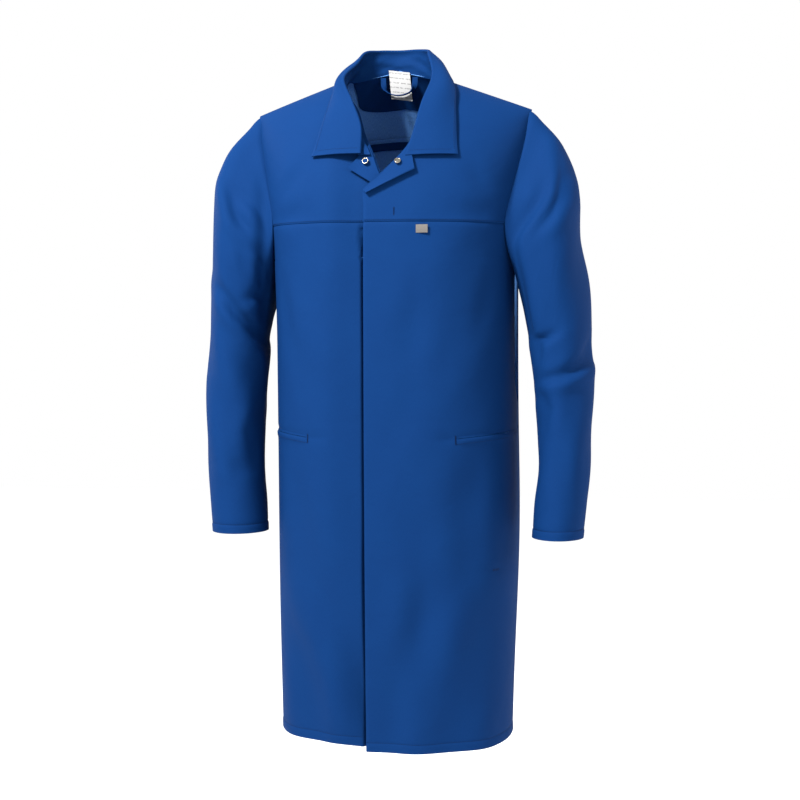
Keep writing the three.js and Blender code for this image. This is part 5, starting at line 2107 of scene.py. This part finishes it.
@dataclass
class Lapel:
    """The front's top corner turned back on the yoke, with its ring stud."""

    side: Side
    coat: CoatBody
    wardrobe: Wardrobe
    top_drop: float = 112.0
    roll_radius: float = 1.3
    free_lift: float = 8.0
    cloth: float = 1.4
    stud_shift: dict[Side, tuple[float, float]] = field(
        default_factory=lambda: {Side.LEFT: (0.5, 0.0), Side.RIGHT: (6.0, 4.0)}
    )  # along X and up from the CAD stud
    stud_lift: dict[Side, float] = field(default_factory=lambda: {Side.LEFT: 3.0, Side.RIGHT: 3.2})
    stud_tilt: dict[Side, float] = field(default_factory=lambda: {Side.LEFT: 0.55, Side.RIGHT: 0.15})

    def place(self, fall: Any, v: Any) -> tuple[Any, Any]:
        """Where a point of the lapel lies on the front.

        Args:
            fall: Share along the fold, from the collar down.
            v: Share from the fold to the free edge.

        Returns:
            Distance from the middle and drop.
        """
        coat = self.coat
        tip_x, tip_drop = (53.0, 153.0) if self.side is Side.LEFT else (48.0, 147.0)
        fold_drop = blend(self.top_drop, coat.lapel_break, fall)
        fold_x = coat.neck_edge[self.side](fold_drop)
        x = blend(fold_x, blend(tip_x, -coat.overlap + 5, fall), v)
        drop = blend(fold_drop, blend(tip_drop, coat.lapel_break + 5, fall), v)
        return x, drop

    def surface(self, fall: Any, v: Any, lift: Any) -> tuple[Points, Points]:
        """Points above the front's cloth, and its normals."""
        x, drop = self.place(fall, v)
        return self.coat.front(self.side, x, drop, -lift)

    def dress(self) -> None:
        """Makes the lapel and its stud."""
        label = self.side.label
        length = 1.0 if self.side is Side.LEFT else 0.92
        fall = np.linspace(0, length, 34)[:, None]
        rows = []
        for angle in np.radians([0, 40, 80, 115, 145, 165]):
            back = -self.roll_radius * np.sin(angle) / 26
            lift = self.cloth + self.roll_radius * (1 - np.cos(angle))
            rows.append((back, lift))
        rise = self.cloth + 2 * self.roll_radius
        for v in [*np.linspace(0.04, 0.94, 12), 0.965, 0.985, 1.0]:
            rows.append((v, rise + (self.free_lift - rise) * v**1.5 - 0.9 * smooth(v, 0.96, 1.0)))
        v, lift = np.array(rows)[:, 0][None, :], np.array(rows)[:, 1][None, :]
        fall_grid, v_grid = np.broadcast_arrays(fall, v)
        points, normals = self.surface(fall_grid, v_grid, np.broadcast_to(lift, v_grid.shape))
        facing = normals.copy()
        facing[:, :3] = 0
        cloth = [self.wardrobe.materials["right_side"]]
        piece = Shell(f"{label}_lapel_cloth", points, cloth, self.cloth, facing=facing).build()
        place(piece, "cloth_blue", f"{label}_lapel", body="root")
        low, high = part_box(f"{label}_neck_stud")
        centre = np.array((low + high) / 2) / MM
        core = "right_side" if self.side is Side.RIGHT else "metal"
        _, normal = self.coat.front(self.side, abs(centre[0]), -centre[2])
        across, up = self.stud_shift[self.side]
        centre = centre + normal * self.stud_lift[self.side] + np.array([across, 0.0, up])
        tilted = normal + np.array([0.0, 0.0, self.stud_tilt[self.side]])
        materials = [self.wardrobe.materials["metal"], self.wardrobe.materials[core]]
        stud = ring_stud(f"{label}_neck_ring", centre, tilted / np.linalg.norm(tilted), materials)
        place(stud, "stud_metal", f"{label}_neck_stud", body="root")
        size, under = (98.0 * length, 40.0), [f"{label}_yoke_cloth"]
        declare(piece, size, "folded", rests_on=under, share=0.6, with_pieces=[stud])
        LOG.info("%s lapel and ring stud", label)


# ---------------------------------------------------------------- loop, label and tag


@dataclass(frozen=True)
class Tab:
    """A small flat tab that hangs from its top edge, in millimetres."""

    node: str
    body: str
    finish: str
    slot: str
    lean: float  # how far its foot swings along X
    bow: float  # how far its middle bows off the cloth
    thickness: float
    lower: float  # how far its top lies under the CAD node's
    height: float
    curl: float = 0.0  # when not 0 the tab stays baked where it hangs, on no body; at 0 it turns whole with its body


@dataclass
class Trim:
    """The hanger loop, the care label and the chest tag."""

    wardrobe: Wardrobe
    band: float = 9.0
    band_cloth: float = 1.1
    loop_forward: float = 4.0  # how far the loop's slack middle stands off the neck facing
    care_label: Tab = Tab("care_label", "label", "label", "label_white", 4.5, 1.2, 0.5, -8.0, 45.0, 9.0)
    chest_tag: Tab = Tab("chest_tag", "tag", "tab", "tag_grey", 0.0, 0.3, 0.9, 7.0, 12.0)

    def middle(self, node: str) -> tuple[Points, Points]:
        """A CAD node's middle and size, in millimetres."""
        low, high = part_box(node)
        return np.array((low + high) / 2) / MM, np.array(high - low) / MM

    def hanger_loop(self) -> bpy.types.Object:
        """The loop: a flat band sewn at both ends, which turns edge-on as it hangs."""
        centre, size = self.middle("hanger_loop")
        half, drop = size[0] / 2 - self.band / 2, size[2]
        top = centre[2] + size[2] / 2
        share = np.linspace(0, 1, 49)
        swing = np.sin(np.pi * share)
        legs = np.clip(np.abs(2 * share - 1), 0, 1)
        x = -np.cos(np.pi * share) * half
        z = top - drop * np.clip(swing, 0, 1) ** 0.62 + 0.8
        y = centre[1] - self.loop_forward * (1 - legs**2)
        path = np.stack([x, y, z], axis=1)
        tangent = np.gradient(path, axis=0)
        tangent /= np.linalg.norm(tangent, axis=1, keepdims=True)
        twist = (1 - smooth(legs, 0.45, 0.98))[:, None] * np.pi / 2
        width = np.cos(twist) * np.array([1.0, 0, 0]) + np.sin(twist) * np.array([0, 1.0, 0])
        width -= (width * tangent).sum(axis=1, keepdims=True) * tangent
        width /= np.linalg.norm(width, axis=1, keepdims=True)
        across = np.linspace(-0.5, 0.5, 7)
        points = path[:, None, :] + width[:, None, :] * (across * self.band * 0.94)[None, :, None]
        facing = np.zeros_like(points)
        facing[:6, :, 1] = -1.0
        cloth = [self.wardrobe.materials["right_side"]]
        piece = Shell("hanger_loop_band", points, cloth, self.band_cloth, facing=facing).build()
        return place(piece, "cloth_blue", "hanger_loop", body="loop")

    def hanging_tab(self, tab: Tab) -> bpy.types.Object:
        """Makes a tab where its CAD node hangs.

        Args:
            tab: The tab's sizes and finish.

        Returns:
            The piece.
        """
        node, lean = tab.node, tab.lean
        centre, size = self.middle(node)
        top = centre[2] + size[2] / 2 - tab.lower
        u, v = np.meshgrid(np.linspace(-0.5, 0.5, 15), np.linspace(0, 1, 19), indexing="ij")
        x = centre[0] + u * size[0] * 0.99 + lean * (v - 0.15)
        z = top - tab.height * v - 0.06 * lean * u * size[0] / 2
        y = centre[1] - 0.5 * tab.thickness - tab.bow * np.sin(np.pi * v) * (1 - (2 * u) ** 2 * 0.5)
        points = np.stack([x, y, z], axis=-1)
        facing = np.zeros_like(points)
        facing[..., 1] = -1.0
        finish = [self.wardrobe.materials[tab.finish]]
        piece = Shell(f"{node}_cloth", points, finish, tab.thickness, facing=facing).build()
        if tab.curl:
            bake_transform(piece)
        return place(piece, tab.slot, node, body="" if tab.curl else tab.body)

    def dress(self) -> None:
        """Makes the loop, the label and the tag."""
        loop = self.hanger_loop()
        label, tag = self.hanging_tab(self.care_label), self.hanging_tab(self.chest_tag)
        declare(loop, (self.band + 1, 100.0), "hung", rests_on=["back_neck_facing_cloth"])
        declare(label, (34.0, 45.0), "hung", rests_on=["back_neck_facing_cloth"])
        declare(tag, (16.0, 12.0), "hung", rests_on=["left_front_cloth"])
        LOG.info("hanger loop, care label and chest tag")


# ---------------------------------------------------------------- studio


@dataclass
class Studio:
    """A pale floor, soft lights and the camera."""

    azimuth: float = 10.0  # the camera stands this far round from the front, towards +X
    elevation: float = 2.5
    distance: float = 2400.0
    aim: tuple[float, float, float] = (9.3, 1.6, -496.0)
    lens: float = 69.2
    floor_drop: float = 1500.0

    def camera(self) -> None:
        """Makes the camera."""
        turn, rise = math.radians(self.azimuth), math.radians(self.elevation)
        forward = Vector(
            (-math.sin(turn) * math.cos(rise), math.cos(turn) * math.cos(rise), -math.sin(rise))
        )
        data = bpy.data.cameras.new("studio_camera")
        data.lens, data.sensor_width = self.lens, 36.0
        data.clip_end = 100.0
        camera = bpy.data.objects.new("studio_camera", data)
        camera.location = Vector(self.aim) * MM - forward * self.distance * MM
        camera.rotation_euler = forward.to_track_quat("-Z", "Y").to_euler()
        bpy.context.scene.collection.objects.link(camera)
        bpy.context.scene.camera = camera

    def lamp(
        self, name: str, place: Place, aim: Place, size: float, power: float, colour: Colour
    ) -> None:
        """Adds one soft area light.

        Args:
            name: The light's name.
            place: Where it stands, in metres.
            aim: What it points at, in metres.
            size: Its side, in metres.
            power: Its power, in watts.
            colour: Its colour.
        """
        data = bpy.data.lights.new(name, "AREA")
        data.size, data.energy, data.color = size, power, colour
        lamp = bpy.data.objects.new(name, data)
        lamp.location = place
        lamp.rotation_euler = (Vector(aim) - Vector(place)).to_track_quat("-Z", "Y").to_euler()
        bpy.context.scene.collection.objects.link(lamp)

    def floor(self) -> None:
        """Makes the floor."""
        nodes = NodeTree("pale_floor")
        place = nodes.add("ShaderNodeTexCoord", output="Object")
        grain = nodes.add("ShaderNodeTexNoise", inputs={"Vector": place, "Scale": 3.0})
        nodes.surface(
            {"Base Color": nodes.mix(grain, (0.97, 0.97, 0.97), (1.0, 1.0, 1.0)), "Roughness": 0.9}
        )
        half, z = 8.0, -self.floor_drop * MM
        mesh = bpy.data.meshes.new("studio_floor")
        corners = [(-half, -half, z), (half, -half, z), (half, half, z), (-half, half, z)]
        mesh.from_pydata(corners, [], [(0, 1, 2, 3)])
        mesh.materials.append(nodes.material)
        add_object("studio_floor", mesh)

    def light(self) -> None:
        """Lights the studio and sets how its colours are shown."""
        world = bpy.data.worlds.new("studio_world")
        world.use_nodes = True
        backdrop = world.node_tree.nodes["Background"]
        backdrop.inputs["Color"].default_value = (1.0, 1.0, 1.0, 1.0)
        backdrop.inputs["Strength"].default_value = 1.0
        scene = bpy.context.scene
        scene.world = world
        scene.view_settings.view_transform = "Standard"
        self.lamp("key", (-1.05, -1.65, 1.4), (0, 0, 0.05), 0.5, 215.0, (1.0, 0.99, 0.97))
        self.lamp("fill", (1.8, -1.8, 0.6), (0, 0, -0.3), 1.0, 16.0, (0.95, 0.98, 1.0))
        self.lamp("rim_left", (-1.9, 0.9, 0.2), (-0.2, 0, -0.4), 0.8, 26.0, (0.95, 0.98, 1.0))
        self.lamp("rim_right", (1.9, 0.9, 0.2), (0.2, 0, -0.4), 0.8, 26.0, (0.95, 0.98, 1.0))


def main() -> None:
    """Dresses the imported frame."""
    logging.basicConfig(level=logging.INFO, format="%(message)s")
    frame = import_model()
    studio = Studio()
    studio.camera()
    wardrobe = Wardrobe().hang()
    coat = CoatBody()
    back = BackHalf(coat, wardrobe)
    halves = [
        FrontHalf(side, coat, wardrobe, Fold.from_joint(frame, f"{side.label}_front_open", side))
        for side in Side
    ]
    for half in halves:
        half.dress()
    back.dress()
    for side in Side:
        Sleeve(side, coat, wardrobe).dress()
        Lapel(side, coat, wardrobe).dress()
    Collar(coat, back, wardrobe).dress()
    Trim(wardrobe).dress()
    studio.floor()
    studio.light()


if __name__ == "__main__":
    main()
